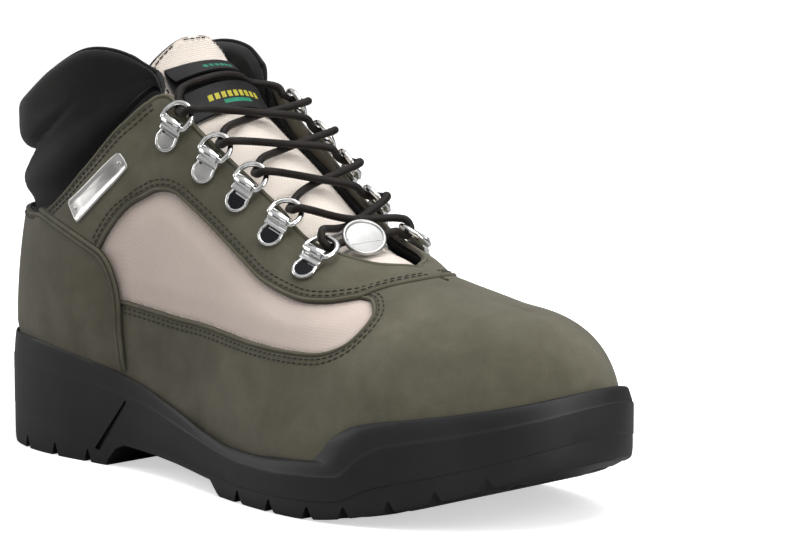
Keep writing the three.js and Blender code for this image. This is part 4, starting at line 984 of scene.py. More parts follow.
def stitch_path(line, distance, inward_of, lift):
    """A path beside an edge line: a number of millimetres in from it, over the leather."""
    along = np.gradient(upper_face(line[:, 0], line[:, 1]), axis=0)
    inward = unit(np.cross(along, upper_normal(line[:, 0], line[:, 1]))) * inward_of
    path = moved(line, inward, distance)
    points = upper_face(path[:, 0], path[:, 1])
    starts, ends = upper_face(line[:-1, 0], line[:-1, 1]), upper_face(line[1:, 0], line[1:, 1])
    true = distance_to_segments(points, starts, ends)[0].min(-1)
    path = path[(true > distance - 0.12) & (path[:, 1] < 0.985)]
    return on_face(path[:, 0], path[:, 1], lift), upper_normal(path[:, 0], path[:, 1])


def make_vamp():
    shape = Shape()
    half = {}
    for side in (LATERAL, MEDIAL):
        lines = LINES[side]
        corner = near_index(lines["seam"], lines["panel_low"][-1])
        seam_low = lines["seam"][corner + 1:]
        seam_low = seam_low[seam_low[:, 1] > 0.04]
        behind = seam_low.copy()
        behind[:, 0] += station(0.06, side)
        foot = np.array([[behind[-1, 0], 0.03]])
        tuck = np.array([[5.3, 0.73], [5.15, 0.82], [4.95, 0.92], [4.8, 1.0]])
        tuck[:, 0] = station(tuck[:, 0], side)
        tuck = np.vstack([lines["panel_low"][0] + [station(0.12, side), 0.012], tuck])
        low_edge = lines["panel_low"][::-1]
        half[side] = {
            "rise": np.vstack([foot, behind[::-1], low_edge[:1]]),
            "edge": low_edge,
            "tuck": np.vstack([low_edge[-1:], tuck]),
        }
    lateral, medial = half[LATERAL], half[MEDIAL]
    ridge = np.array([[4.8, 1.0], [0.0, 1.0], [-4.8, 1.0]])
    sole_run = np.array([[medial["rise"][0, 0], 0.03], [0.0, 0.03], [lateral["rise"][0, 0], 0.03]])
    borders = [
        ("hidden", lateral["rise"]), ("edge", lateral["edge"]), ("hidden", lateral["tuck"]),
        ("ridge", ridge),
        ("hidden", medial["tuck"][::-1]), ("edge", medial["edge"][::-1]),
        ("hidden", medial["rise"][::-1]), ("hidden", sole_run),
    ]
    patch(shape, borders, 0.0, -0.85, rows=PANEL_ROWS)
    return shape.build("upper_vamp", [NUBUCK, CUT_EDGE_AND_SHADE], "upper", "nubuck", merge=0.02, sharp=60)


def make_ankle():
    shape = Shape()
    for side in (LATERAL, MEDIAL):
        lines = LINES[side]
        corner = near_index(lines["seam"], lines["panel_top"][0])
        seam = lines["seam"][:corner + 1]
        upper_edge = lines["panel_top"]
        throat = np.array([[THROAT_STATION, 1.0], [10.2, 1.0], [10.7, 0.988], [CORNER_STATION, 0.965]])
        top_line = np.array([[CORNER_STATION, 0.965], *TOP_LINE, [SEAM_TOP_STATION, SEAM_TOP_LEVEL]])
        ridge = np.array([[4.2, 1.0], [THROAT_STATION, 1.0]])
        for line in (throat, top_line, ridge):
            line[:, 0] = station(line[:, 0], side)
        borders = [
            ("edge", np.vstack([upper_edge, lines["front"][1:]])), ("ridge", ridge), ("edge", throat),
            ("edge", top_line), ("hidden", np.vstack([seam, upper_edge[:1]])),
        ]
        patch(shape, borders, OVERLAY_RISE, -0.85, rows=PANEL_ROWS)
    return shape.build("upper_ankle", [NUBUCK, CUT_EDGE_AND_SHADE], "upper", "nubuck", merge=0.02, sharp=60)


def make_counter():
    shape = Shape()
    lateral = LINES[LATERAL]["seam"]
    medial = LINES[MEDIAL]["seam"].copy()
    medial[:, 0] = medial[:, 0] + STATIONS
    lateral = lateral[lateral[:, 1] > 0.04]
    medial = medial[medial[:, 1] > 0.04]
    foot = np.array([[lateral[-1, 0], 0.03], [HEEL_STATION, 0.03], [medial[-1, 0], 0.03]])
    top = np.array([medial[0], *COUNTER_TOP[::-1], lateral[0]])
    borders = [
        ("hidden", np.vstack([lateral, foot[:1]])), ("hidden", foot),
        ("hidden", np.vstack([foot[-1:], medial[::-1]])), ("edge", top),
    ]
    patch(shape, borders, OVERLAY_RISE, -0.85, rows=(2.7,), settle=sunk_at_sole)
    return shape.build("upper_counter", [NUBUCK, CUT_EDGE_AND_SHADE], "upper", "nubuck", sharp=60)


def make_panel(side):
    """Cloth panel: a sheet that runs under the leather round it, a little full in the middle."""
    shape = Shape()
    us = station(np.linspace(4.25, 12.4, 150), side)
    vs = np.linspace(0.25, 0.78, 60)
    u, v = np.meshgrid(us, vs, indexing="ij")
    face = upper_face(u, v).reshape(-1, 3)
    edge = np.vstack([LINES[side]["panel_top"], LINES[side]["panel_low"]])
    seam = LINES[side]["seam"]
    edge = np.vstack([edge, seam[near_index(seam, edge[0]):near_index(seam, edge[-1])]])
    edge_points = upper_face(edge[:, 0], edge[:, 1])
    gap = np.array([np.linalg.norm(edge_points - p, axis=-1).min() for p in face]).reshape(u.shape)
    outline = np.vstack([LINES[side]["panel_top"], LINES[side]["panel_low"], seam[near_index(
        seam, edge[0]):near_index(seam, LINES[side]["panel_low"][-1])][::-1]])
    within = inside(np.stack([u.ravel(), v.ravel()], -1), outline).reshape(u.shape)
    level = -PANEL_DEPTH + np.where(within, 0.75 * soft_step(gap / 11), 0)
    front = on_face(u, v, level)
    back = on_face(u, v, -PANEL_DEPTH - 0.5)
    along = np.concatenate([[0], np.cumsum(np.linalg.norm(np.diff(upper_face(us, 0.5), axis=0), axis=1))])
    across = vs * 95
    weave = np.stack(np.broadcast_arrays(along[:, None], across[None], 0.0), -1)
    # Painted shade along the border, where the panel runs under the leather's edge
    shade = 1 - 0.35 * bell(gap, 1.2) * within
    shape.sheet(front, back, weave=weave, shade=shade)
    name = "upper_panel_lateral" if side == LATERAL else "upper_panel_medial"
    return shape.build(name, [FACING], "upper", "facing_cloth")


LINING_DEPTH = 1.35
LINING_SPARE = 0.15


def make_lining():
    """Lining: a closed skin round the whole inside."""
    shape = Shape()
    us = np.linspace(0, STATIONS, 340, endpoint=False)
    vs = np.linspace(0, 1, 46)
    w = np.minimum(us, STATIONS - us)
    # The lining stops short of the throat's edge, where the leather's own back shows
    top = 0.985 - 0.1 * soft_step((w - 4.6) / 0.6) * soft_step((11.2 - w) / 0.8)
    u = np.broadcast_to(us[:, None], (len(us), len(vs)))
    v = 0.03 + (top[:, None] - 0.03) * vs
    front = upper_face(u, v) + upper_normal(u, v) * -LINING_DEPTH
    back = upper_face(u, v) + upper_normal(u, v) * -(UPPER_WALL - LINING_SPARE)
    rows, columns = u.shape
    number = rows * columns
    outer = grid_faces(rows, columns, wrap_rows=True)
    faces = outer + [[k + number for k in face[::-1]] for face in outer]
    for r in range(rows):
        r2 = (r + 1) % rows
        for c in (0, columns - 1):
            low, high = r * columns + c, r2 * columns + c
            faces.append([low, high, high + number, low + number])
    length = np.arange(rows)[:, None] * 2.1
    weave = np.stack(np.broadcast_arrays(length, vs[None] * 95, 0.0), -1)
    shape.add(np.vstack([front.reshape(-1, 3), back.reshape(-1, 3)]), faces,
              weave=np.vstack([weave.reshape(-1, 3)] * 2))
    return shape.build("upper_lining", [LINING], "upper", "footbed_cloth")


PIPING_RADIUS = 0.85
PIPING_SHIFT = 0.95


def make_piping():
    """The double welt along the counter's seam."""
    shape = Shape()
    for side in (LATERAL, MEDIAL):
        seam = LINES[side]["seam"]
        z = upper_face(seam[:, 0], seam[:, 1])
        seam = seam[z[:, 2] > height_at(RIM, z[:, 0] - 6) - 2]
        seam = resample(seam, 0.9)
        z = upper_face(seam[:, 0], seam[:, 1])
        lift = OVERLAY_RISE + 0.15 - 0.75 * soft_step(1 - (z[:, 2] - height_at(RIM, z[:, 0] - 6)) / 5)
        for shift in (-PIPING_SHIFT, PIPING_SHIFT):
            shape.rings(face_cord(seam, lift, PIPING_RADIUS, shift, sides=12, flatten=0.95))
        # Thin dark cords in the valley between the welts and beside them: painted shade
        shape.rings(face_cord(seam, lift + 0.28, 0.24, 0.0, sides=6), slot=1)
        for shift in (-2.05, 2.05):
            shape.rings(face_cord(seam, lift - 0.1, 0.28, shift, sides=6, flatten=0.6), slot=1)
    return shape.build("upper_piping", [NUBUCK, CUT_EDGE_AND_SHADE], "upper", "nubuck", sharp=60)


def inward_sign(line, target):
    """Which way is in from a line: +1 or -1, so that a step that way comes nearer to a target point."""
    middle = line[len(line) // 2:len(line) // 2 + 2]
    along = np.gradient(upper_face(middle[:, 0], middle[:, 1]), axis=0)[0]
    inward = np.cross(along, upper_normal(middle[0, 0], middle[0, 1]))
    return 1 if inward @ (np.asarray(target) - upper_face(middle[0, 0], middle[0, 1])) > 0 else -1


def make_stitches():
    shape = Shape()
    lift = OVERLAY_RISE + 0.12
    spacing = 1.0
    for side in (LATERAL, MEDIAL):
        lines = LINES[side]
        y = side * 40
        top = resample(np.vstack([lines["panel_top"], lines["front"][1:]]), spacing)
        low = resample(lines["panel_low"], spacing)
        above = inward_sign(top, (150, y, 140))
        below = inward_sign(low, (190, y, 10))
        top_line = resample(np.array([[station(w, side), v] for w, v in (
            (11.1, 0.96), *TOP_LINE, (14.3, 0.954))]), spacing)
        for distance in PANEL_ROWS:
            add_stitches(shape, *stitch_path(top, distance, above, lift - 0.14))
            add_stitches(shape, *stitch_path(low, distance, below, 0.0))
        for distance in TOP_ROWS:
            inward = inward_sign(top_line, (75, y, 90))
            add_stitches(shape, *stitch_path(top_line, distance, inward, lift - 0.1))
        if side == MEDIAL:
            for shift in (-0.06, 0.06):
                line = np.array([[station(9.15 + shift, side), 0.96], [station(8.75 + shift, side), 0.72]])
                line = resample(line, spacing)
                points = on_face(line[:, 0], line[:, 1], lift)
                add_stitches(shape, points, upper_normal(line[:, 0], line[:, 1]))
    first = SEAM_TOP_STATION + 0.2
    heel = resample(np.array([[first, 0.953], *COUNTER_TOP, [STATIONS - first, 0.953]]), spacing)
    add_stitches(shape, *stitch_path(heel, 2.7, inward_sign(heel, (-10, 0, 40)), lift - 0.1))
    return shape.build("upper_stitches", [THREAD], "upper", "facing_cloth", recalculate=False)


make_vamp()
make_ankle()
make_counter()
make_panel(LATERAL)
make_panel(MEDIAL)
make_lining()
make_piping()
make_stitches()


# Outsole
# Rows of the sole's wall: share of the way in from the widest line to the upper, and share of the height
WALL_ROWS = [
    (0.34, 0.0), (0.2, 0.004), (0.12, 0.03), (0.07, 0.08), (0.045, 0.16), (0.04, 0.3), (0.05, 0.325),
    (0.052, 0.34), (0.0, 0.356), (0.0, 0.5), (0.0, 0.66), (0.0, 0.765), (0.012, 0.785), (0.07, 0.797),
    (0.1, 0.81), (0.135, 0.84), (0.26, 0.925), (0.36, 0.975), (0.46, 0.998), (0.62, 1.0), (0.86, 0.99),
    (0.97, 0.965),
]


def sole_body():
    us = np.linspace(0, STATIONS, 560, endpoint=False)
    edge = sole_outline(us)
    rim = height_at(RIM, (edge[:, 0] + upper_face(us, 0 * us)[:, 0]) / 2)
    bottom = sole_bottom(edge[:, 0])
    level = level_at(us, rim)
    inner = upper_face(us, level) + upper_normal(us, level) * CLEARANCE
    towards = inner[:, :2] - edge
    rows = []
    for share, height in WALL_ROWS:
        rows.append(np.column_stack([edge + towards * share, bottom + (rim - bottom) * height]))
    for part in (1.0, 0.5, 0.0):
        at = upper_face(us, level * part) + upper_normal(us, level * part) * CLEARANCE
        if part == 1.0:
            at[:, 2] = bottom + (rim - bottom) * 0.93
        if part == 0.0:
            at[:, 2] = height_at(CUP_FLOOR, upper_face(us, 0 * us)[:, 0])
        rows.append(at)
    rings = np.array(rows)
    shape = Shape()
    shape.add(rings, grid_faces(len(rings), len(us), wrap_columns=True))
    shape.across(rings[0], 14, True, sole_bottom)
    shape.across(rings[-1], 14, False)
    return shape


def outline_y(x, side):
    w = np.linspace(0.02, HEEL_STATION, 1200)
    points = sole_outline(station(w, side))
    return points[np.argmin(np.abs(points[:, 0] - x)), 1]


def side_prism(shape, outline, from_y, to_y):
    """Prism over an outline of the side view, from one depth to another."""
    outline = np.asarray(outline, float)
    near = np.column_stack([outline[:, 0], np.full(len(outline), from_y), outline[:, 1]])
    far = np.column_stack([outline[:, 0], np.full(len(outline), to_y), outline[:, 1]])
    shape.rings([near, far])


def make_outsole():
    body = sole_body().build("outsole_skin", [RUBBER], "outsole", "sole_rubber", merge=0.01, sharp=32)
    tools = Shape()
    over = 6.0
    breast = 0.285 * SOLE_LENGTH
    tread_start = 0.521 * SOLE_LENGTH
    side_prism(tools, [
        [breast - 3, -over], [breast + 0.6, 0.26 * ARCH_LIFT], [breast + 2.2, 0.44 * ARCH_LIFT],
        [breast + 5.5, 0.8 * ARCH_LIFT], [breast + 10, ARCH_LIFT], [tread_start, TREAD_DEPTH],
        [tread_start + TREAD_LEAN, 0], [tread_start + TREAD_LEAN, -over],
    ], -BALL_WIDTH, BALL_WIDTH)

    def notch(x, width, depth=LUG_DEPTH):
        z = float(sole_bottom(x))
        half = width / 2
        one_side = [(half + 0.5, -4), (half + 0.5, -0.1), (half, 0.5), (0.45, depth)]
        return [[x - a, z + h] for a, h in one_side] + [[x + a, z + h] for a, h in one_side[::-1]]

    heel_cuts = [share * SOLE_LENGTH for share in (0.048, 0.114, 0.182, 0.248)]
    front_cuts = [share * SOLE_LENGTH for share in (0.589, 0.656, 0.723, 0.777, 0.834, 0.885, 0.935)]
    for x in heel_cuts + front_cuts:
        width = 0.72 * LUG_NOTCH_WIDTH if x < breast else LUG_NOTCH_WIDTH
        reach = LUG_REACH + 0.35 * CHANNEL_WIDTH
        side_prism(tools, notch(x, width), outline_y(x, LATERAL) - over, outline_y(x, LATERAL) + reach)
        side_prism(tools, notch(x, width), outline_y(x, MEDIAL) - reach, outline_y(x, MEDIAL) + over)
    for share in (0.148, 0.215, 0.622, 0.69, 0.75, 0.805, 0.86):
        x = share * SOLE_LENGTH
        reach = LUG_REACH + 0.65 * CHANNEL_WIDTH
        side_prism(tools, notch(x, LUG_NOTCH_WIDTH), outline_y(x, LATERAL) + reach,
                   outline_y(x, MEDIAL) - reach)
    for low, high in ((0.045, 0.262), (0.55, 0.9)):
        for side in (LATERAL, MEDIAL):
            xs = SOLE_LENGTH * np.linspace(low, high, 30)
            outer = np.array([outline_y(x, side) for x in xs]) - side * LUG_REACH
            rows = []
            for shift, top in ((0, 0), (0.25, 0.5), (CHANNEL_WIDTH - 0.25, 0.5), (CHANNEL_WIDTH, 0)):
                top_z = sole_bottom(xs) + (0.8 * LUG_DEPTH if top else 0.55 * LUG_DEPTH)
                rows.append(np.column_stack([xs, outer - side * shift, top_z]))
            for shift in (CHANNEL_WIDTH, 0):
                rows.append(np.column_stack([xs, outer - side * shift, np.full(len(xs), -4.0)]))
            tools.rings(np.array(rows).transpose(1, 0, 2))
    # Slanted slit where the heel block meets the arch, on both sides
    slit = table((SOLE_LENGTH, RIM_HEIGHT), [[0.262, 0.14], [0.272, 0.13], [0.325, 0.62], [0.322, 0.64]])
    for side in (LATERAL, MEDIAL):
        y = outline_y(0.29 * SOLE_LENGTH, side)
        side_prism(tools, slit, y - side * 1.3, y + side * over)
    cutter = tools.build("tread_tools", [RUBBER], None, "sole_rubber", merge=0.0)
    modifier = body.modifiers.new("tread", "BOOLEAN")
    modifier.operation = "DIFFERENCE"
    modifier.object = cutter
    modifier.solver = "EXACT"
    modifier.use_self = True
    depsgraph = bpy.context.evaluated_depsgraph_get()
    mesh = bpy.data.meshes.new_from_object(body.evaluated_get(depsgraph))
    body.modifiers.clear()
    body.data = mesh
    bpy.data.objects.remove(cutter)
    mesh.set_sharp_from_angle(angle=math.radians(32))
    return body


make_outsole()


def make_insole():
    shape = Shape()
    us = np.linspace(0, STATIONS, 240, endpoint=False)
    floor = height_at(CUP_FLOOR, upper_face(us, 0 * us)[:, 0]) + CLEARANCE

    def ring(lift, inset):
        level = level_at(us, floor + lift)
        points = upper_face(us, level) + upper_normal(us, level) * -(UPPER_WALL + CLEARANCE + inset)
        points[:, 2] = floor + lift
        return points

    rings = np.array([ring(0.0, 0.0), ring(0.8 * INSOLE_THICKNESS, 0.0), ring(INSOLE_THICKNESS, 0.9)])
    shape.add(rings, grid_faces(len(rings), len(us), wrap_columns=True))
    shape.across(rings[0], 16, True)
    shape.across(rings[-1], 16, False)
    return shape.build("insole_cloth", [LINING], "insole", "footbed_cloth", merge=0.01)


make_insole()


# Padded collar
# Station by station: crest, lower roll, notch and upper roll as distances out, and the pad's thickness
COLLAR_ROWS = table((LEATHER_HEIGHT, COLLAR_PAD, COLLAR_PAD, COLLAR_PAD, COLLAR_PAD), [
    [1.02, 0.05, 0.04, 0.1, 0.5], [1.078, 0.06, 0.05, 0.1, 0.7], [1.085, 0.1, 0.08, 0.13, 0.9],
    [1.035, 0.14, 0.02, 0.22, 1], [0.965, 0.15, -0.08, 0.32, 1.05], [0.93, 0.15, -0.14, 0.36, 1.1],
    [0.927, 0.15, -0.15, 0.38, 1.1],
])


def collar_sections(us):
    row = np.where(us <= HEEL_STATION, us, STATIONS - us) - CORNER_STATION
    crest, low_lobe, notch, high_lobe, pad = through(COLLAR_ROWS, np.clip(row, 0, len(COLLAR_ROWS) - 1)).T
    inside_wall = UPPER_WALL + CLEARANCE
    ones = np.ones_like(us)
    top = upper_face(us, ones)
    normal = upper_normal(us, ones)
    flat = unit(normal * np.array([1, 1, 0]))
    rise = crest - top[:, 2]
    low_v = level_at(us, np.maximum(top[:, 2] - COLLAR_TUCK, 0.42 * LEATHER_HEIGHT))
    middle_v = (low_v + 1) / 2
    up = np.array([0.0, 0.0, 1.0])

    def free(out, share):
        return top + flat * np.broadcast_to(out, us.shape)[:, None] + up * (rise * share)[:, None]

    def tucked(v, distance):
        return upper_face(us, v) + upper_normal(us, v) * np.broadcast_to(distance, us.shape)[:, None]

    edge = tucked(ones, -inside_wall)
    low_share = 0.06 + 0.1 * np.minimum(1, rise / 40)
    return np.stack([
        tucked(low_v, -inside_wall), tucked(middle_v, -inside_wall), edge,
        free(low_lobe - 0.6, low_share), free(low_lobe, 0.28 * ones), free(notch, 0.46 * ones),
        free(high_lobe * 0.8, 0.62 * ones), free(high_lobe, 0.8 * ones), free(high_lobe * 0.8, 0.94 * ones),
        free(high_lobe * 0.5 - 0.35 * pad, ones), free(-0.85 * pad - inside_wall, 0.93 * ones),
        free(-pad - inside_wall, 0.7 * ones), edge - flat * pad[:, None],
        tucked(middle_v, -inside_wall - 0.8 * pad), tucked(low_v, -inside_wall - 0.25 * pad),
    ], 1)


# Soft folds of the collar: station, share up the free part, half length, width, depth and slant
COLLAR_FOLDS = [
    (15.3, 0.5, 2.4, 1.7, 2.2, -0.22), (18.7, 0.5, 2.4, 1.7, 2.2, 0.22), (17.0, 0.47, 1.8, 1.7, 1.2, 0.0),
    (14.2, 0.72, 0.8, 3.0, 0.5, 0.35), (19.8, 0.72, 0.8, 3.0, 0.5, -0.35), (13.0, 0.4, 0.7, 3.0, 0.45, 0.5),
    (21.0, 0.4, 0.7, 3.0, 0.45, -0.5), (16.2, 0.82, 0.5, 2.5, 0.4, 0.6), (17.9, 0.8, 0.5, 2.5, 0.4, -0.6),
]


# Rows of a collar section, with the share up its free part, and the row of its top seam
SECTION_SHARES = ([0, 2, 3, 4, 5, 6, 7, 8, 9, 15], [-1, 0, 0.12, 0.28, 0.46, 0.62, 0.8, 0.94, 1.05, 2.5])
COLLAR_SEAM = 9.0
FOLD_SPAN = 50.0


def make_collar():
    shape = Shape()
    us = np.linspace(CORNER_STATION, STATIONS - CORNER_STATION, 221)
    sections = collar_sections(us)
    count = sections.shape[1]
    per = 6
    place = np.arange(count * per) / per
    smooth = through(sections.transpose(1, 0, 2).reshape(count, -1), place, closed=True)
    smooth = smooth.reshape(count * per, len(us), 3).transpose(1, 0, 2)
    centre = smooth.mean(1, keepdims=True)
    end = np.minimum(us - us[0], us[-1] - us)
    taper = np.sqrt(np.clip(1 - (1 - np.clip(end / 0.3, 0, 1)) ** 2, 0.04, 1))[:, None, None]
    smooth = centre + (smooth - centre) * taper
    ring_next = np.roll(smooth, -1, 1) - np.roll(smooth, 1, 1)
    station_next = np.gradient(smooth, axis=0)
    normal = unit(np.cross(station_next, ring_next) + 1e-9)
    outer = normal[:, 4 * per]
    flat = unit(upper_normal(us, np.ones_like(us)) * [1, 1, 0])
    if (outer * flat).sum() < 0:
        normal = -normal
    share = np.interp(place, *SECTION_SHARES)
    depth = np.zeros(smooth.shape[:2])
    for at, up, half, width, deep, slant in COLLAR_FOLDS:
        along = us[:, None] - at
        off = (share[None] - up - slant * along * 0.2) * FOLD_SPAN
        depth += deep * np.clip(1 - (along / half) ** 2, 0, 1) ** 1.5 * bell(off, width)
    seam_off = (place[None] - COLLAR_SEAM) * 3.2
    depth += 0.7 * bell(seam_off, 0.7)
    smooth = smooth - normal * depth[..., None]
    along_length = np.arange(len(us)) * 1.6
    around = np.concatenate([[0], np.cumsum(np.linalg.norm(np.diff(smooth[110], axis=0), axis=1))])
    weave = np.stack(np.broadcast_arrays(along_length[:, None], around[None], 0.0), -1)
    shape.rings(smooth, weave=weave)
    collar = shape.build("collar_pad", [PAD], "collar", "pad_cloth")
    piping = Shape()
    line = through(sections.transpose(1, 0, 2).reshape(count, -1), np.array([COLLAR_SEAM]), closed=True)
    line = line.reshape(len(us), 3)[3:-3]
    piping.rings(tube_rings(spaced(line, 1.2), 0.75, 8))
    piping.build("collar_piping", [PAD], "collar", "pad_cloth")


make_collar()


# Tongue
TONGUE_CENTRE = 0.04 * BALL_WIDTH
# From the vamp up to the top: along, up, half width and crown
TONGUE_ROWS = table((SOLE_LENGTH, LEATHER_HEIGHT, BALL_WIDTH, BALL_WIDTH), [
    [0.715, 0.533, 0.14, 0.03], [0.672, 0.583, 0.165, 0.05], [0.6, 0.63, 0.205, 0.065],
    [0.546, 0.711, 0.205, 0.075], [0.477, 0.808, 0.215, 0.075], [0.404, 0.905, 0.215, 0.075],
    [0.348, 0.996, 0.195, 0.08], [0.325, 1.06, 0.185, 0.085], [0.313, 1.119, 0.14, 0.06],
])
TONGUE_LAST = len(TONGUE_ROWS) - 1


def tongue_frame(place):
    place = np.asarray(place, float)
    x, z, half, crown = np.moveaxis(through(TONGUE_ROWS, place), -1, 0)
    step = 0.05
    ahead = through(TONGUE_ROWS, np.clip(place + step, 0, TONGUE_LAST))
    back = through(TONGUE_ROWS, np.clip(place - step, 0, TONGUE_LAST))
    zero = np.zeros_like(x)
    up = unit(np.stack([ahead[..., 0] - back[..., 0], zero, ahead[..., 1] - back[..., 1]], -1))
    front = np.stack([up[..., 2], zero, -up[..., 0]], -1)
    return np.stack([x, zero + TONGUE_CENTRE, z], -1), half, crown, up, front


def on_tongue(place, across, lift):
    place, across, lift = np.broadcast_arrays(*(np.asarray(a, float) for a in (place, across, lift)))
    centre, half, crown, _, front = tongue_frame(place)
    y = np.array([0.0, 1.0, 0.0])
    return centre + y * (across * half)[..., None] + front * (lift - crown * across ** 2)[..., None]


# Outline of the tongue's top: place, and half width and sideways shift as shares of the half width
TONGUE_TOP = np.array([
    [0, 1.0, 0], [6.3, 1.0, 0], [6.9, 1.05, -0.02], [7.1, 1.03, -0.03], [7.35, 0.9, -0.04],
    [7.62, 0.72, -0.07], [7.8, 0.58, -0.1], [7.9, 0.48, -0.12], [7.96, 0.36, -0.13], [8.0, 0.18, -0.14],
])


def shaped(place, across):
    """Across coordinate of the tongue with the outline of its top."""
    reach = np.interp(place, TONGUE_TOP[:, 0], TONGUE_TOP[:, 1])
    # Fuller on the inner side, where it fills the throat
    reach = reach + 0.18 * np.clip(across, 0, 1) * soft_step((6.6 - place) / 1.2)
    return across * reach + np.interp(place, TONGUE_TOP[:, 0], TONGUE_TOP[:, 2])


def make_tongue():
    shape = Shape()
    places = np.concatenate([np.linspace(0, 6.8, 110), np.linspace(6.82, TONGUE_LAST, 60)])
    across = np.sin(np.linspace(-1, 1, 61) * np.pi / 2)
    p, a = np.meshgrid(places, across, indexing="ij")
    thin = TONGUE_THICKNESS * (1 - 0.6 * a ** 4)
    end = np.clip((TONGUE_LAST - p) / 0.35, 0, 1)
    rounding = np.sqrt(np.clip(1 - (1 - end) ** 2, 0, 1))
    wave = -0.5 * sum(bell(p - at, 0.16) for at in (1.6, 2.6, 3.6, 4.6)) * (1 - a ** 2)
    seam = -0.35 * bell((np.abs(a) - 0.9) * 20, 0.7) - 0.35 * bell((p - TONGUE_LAST + 0.14) * 18, 0.7)
    bent = shaped(p, a)
    front = on_tongue(p, bent, (wave + seam - 0.3) * rounding - (1 - rounding) * thin / 2)
    back = on_tongue(p, bent, -thin * (0.5 + 0.5 * rounding))
    length = np.concatenate([[0], np.cumsum(np.linalg.norm(np.diff(front[:, 30], axis=0), axis=1))])
    weave = np.stack(np.broadcast_arrays(a * 22, length[:, None], 0.0), -1)
    edge = np.abs(a) > 0.985
    dark = edge[:-1, :-1].astype(int)
    shape.sheet(front, back, (dark, 1, 1), weave)
    tongue = shape.build("tongue_pad", [TONGUE_CLOTH, PAD], "tongue", "facing_cloth")
    rows_of_thread = Shape()
    place = np.concatenate([np.linspace(1.0, 6.9, 150), np.linspace(6.92, TONGUE_LAST - 0.14, 60)])
    for side in (-1, 1):
        path = on_tongue(place, shaped(place, side * 0.9), -0.15)
        add_stitches(rows_of_thread, path, tongue_frame(place)[4])
    top = np.linspace(-0.85, 0.85, 24)
    last = TONGUE_LAST - 0.14
    add_stitches(rows_of_thread, on_tongue(last, shaped(last, top), -0.15),
                 np.broadcast_to(tongue_frame(last)[4], (24, 3)))
    rows_of_thread.build("tongue_stitches", [THREAD], "tongue", "facing_cloth", recalculate=False)


make_tongue()


# Label: a band folded at its top and bottom, with the lace in the gap between its two flaps
LABEL_FROM = 5.28
LABEL_TO = 6.73
LABEL_LIFT = 2 * CLEARANCE
LABEL_OPENING = 2 * LACE_RADIUS + 8 * CLEARANCE


def make_label():
    shape = Shape()
    half = LABEL_WIDTH / 2
    tongue_half = float(tongue_frame((LABEL_FROM + LABEL_TO) / 2)[1])
    across = np.linspace(-1, 1, 41) * half / tongue_half
    thick = LABEL_THICKNESS * 0.75
    low, high = LABEL_FROM, LABEL_TO
    middle = (low + high) / 2
    rise = LABEL_OPENING * 0.62
    # Middle of the band from the free end of its lower flap, behind, to the free end of its upper flap
    centre_line = []
    for t in np.linspace(0, 1, 14):
        place = middle - 0.22 - (middle - 0.22 - low) * t
        centre_line.append((place, LABEL_LIFT + 0.8 + rise * (1 - t) ** 1.4 * 0.9 + 0.6))
    for t in np.linspace(0.1, 1, 5):
        centre_line.append((low - 0.05 * math.sin(math.pi * t), LABEL_LIFT + 0.5 + 0.9 * (1 - t)))
    for t in np.linspace(0, 1, 14):
        centre_line.append((low + (high - low) * t, LABEL_LIFT + 0.45))
    for t in np.linspace(0.1, 1, 5):
        centre_line.append((high + 0.05 * math.sin(math.pi * t), LABEL_LIFT + 0.5 + 0.9 * t))
    for t in np.linspace(0, 1, 14):
        centre_line.append((high - (high - middle - 0.2) * t, LABEL_LIFT + 1.4 + rise * t ** 1.4 * 0.9))
    centre_line = np.array(centre_line)
    points = on_tongue(centre_line[:, None, 0], across[None], centre_line[:, None, 1])
    along = np.gradient(points, axis=0)
    sideways = np.gradient(points, axis=1)
    normal = unit(np.cross(along, sideways))
    front, back = points + normal * thick / 2, points - normal * thick / 2
    rows, columns = points.shape[:2]
    slots = np.zeros((rows - 1, columns - 1), int)
    # Plain short blocks of colour: a row on each flap and a bar under the lower row
    lower_row, bar_row, upper_row = slice(5, 8), slice(9, 11), slice(-9, -5)
    for first in range(8, 33, 3):
        block = slice(first, first + 2)
        slots[lower_row, block] = 2
        if 12 < first < 30:
            slots[upper_row, block] = 1
    slots[bar_row, 14:28] = 1
    length = np.concatenate([[0], np.cumsum(np.linalg.norm(np.diff(points[:, 20], axis=0), axis=1))])
    weave = np.stack(np.broadcast_arrays(across[None] * tongue_half, length[:, None], 0.0), -1)
    shape.sheet(front, back, (slots, slots, 0), weave)
    shape.build("label_band", [TAPE, GREEN_TAPE, YELLOW_TAPE], "tongue_label", "webbing")


make_label()


# Lace hooks
# Station, level and turn towards the heel in degrees
HOOKS = np.array([[10.47, 0.855, 17], [9.53, 0.874, 13], [8.7, 0.87, 10], [7.72, 0.846, 4],
                  [6.62, 0.802, 3]])
FACET_SPARE = 0.35
BARREL_OUTER = WIRE_RADIUS + CLEARANCE + CLIP_BARREL_WALL


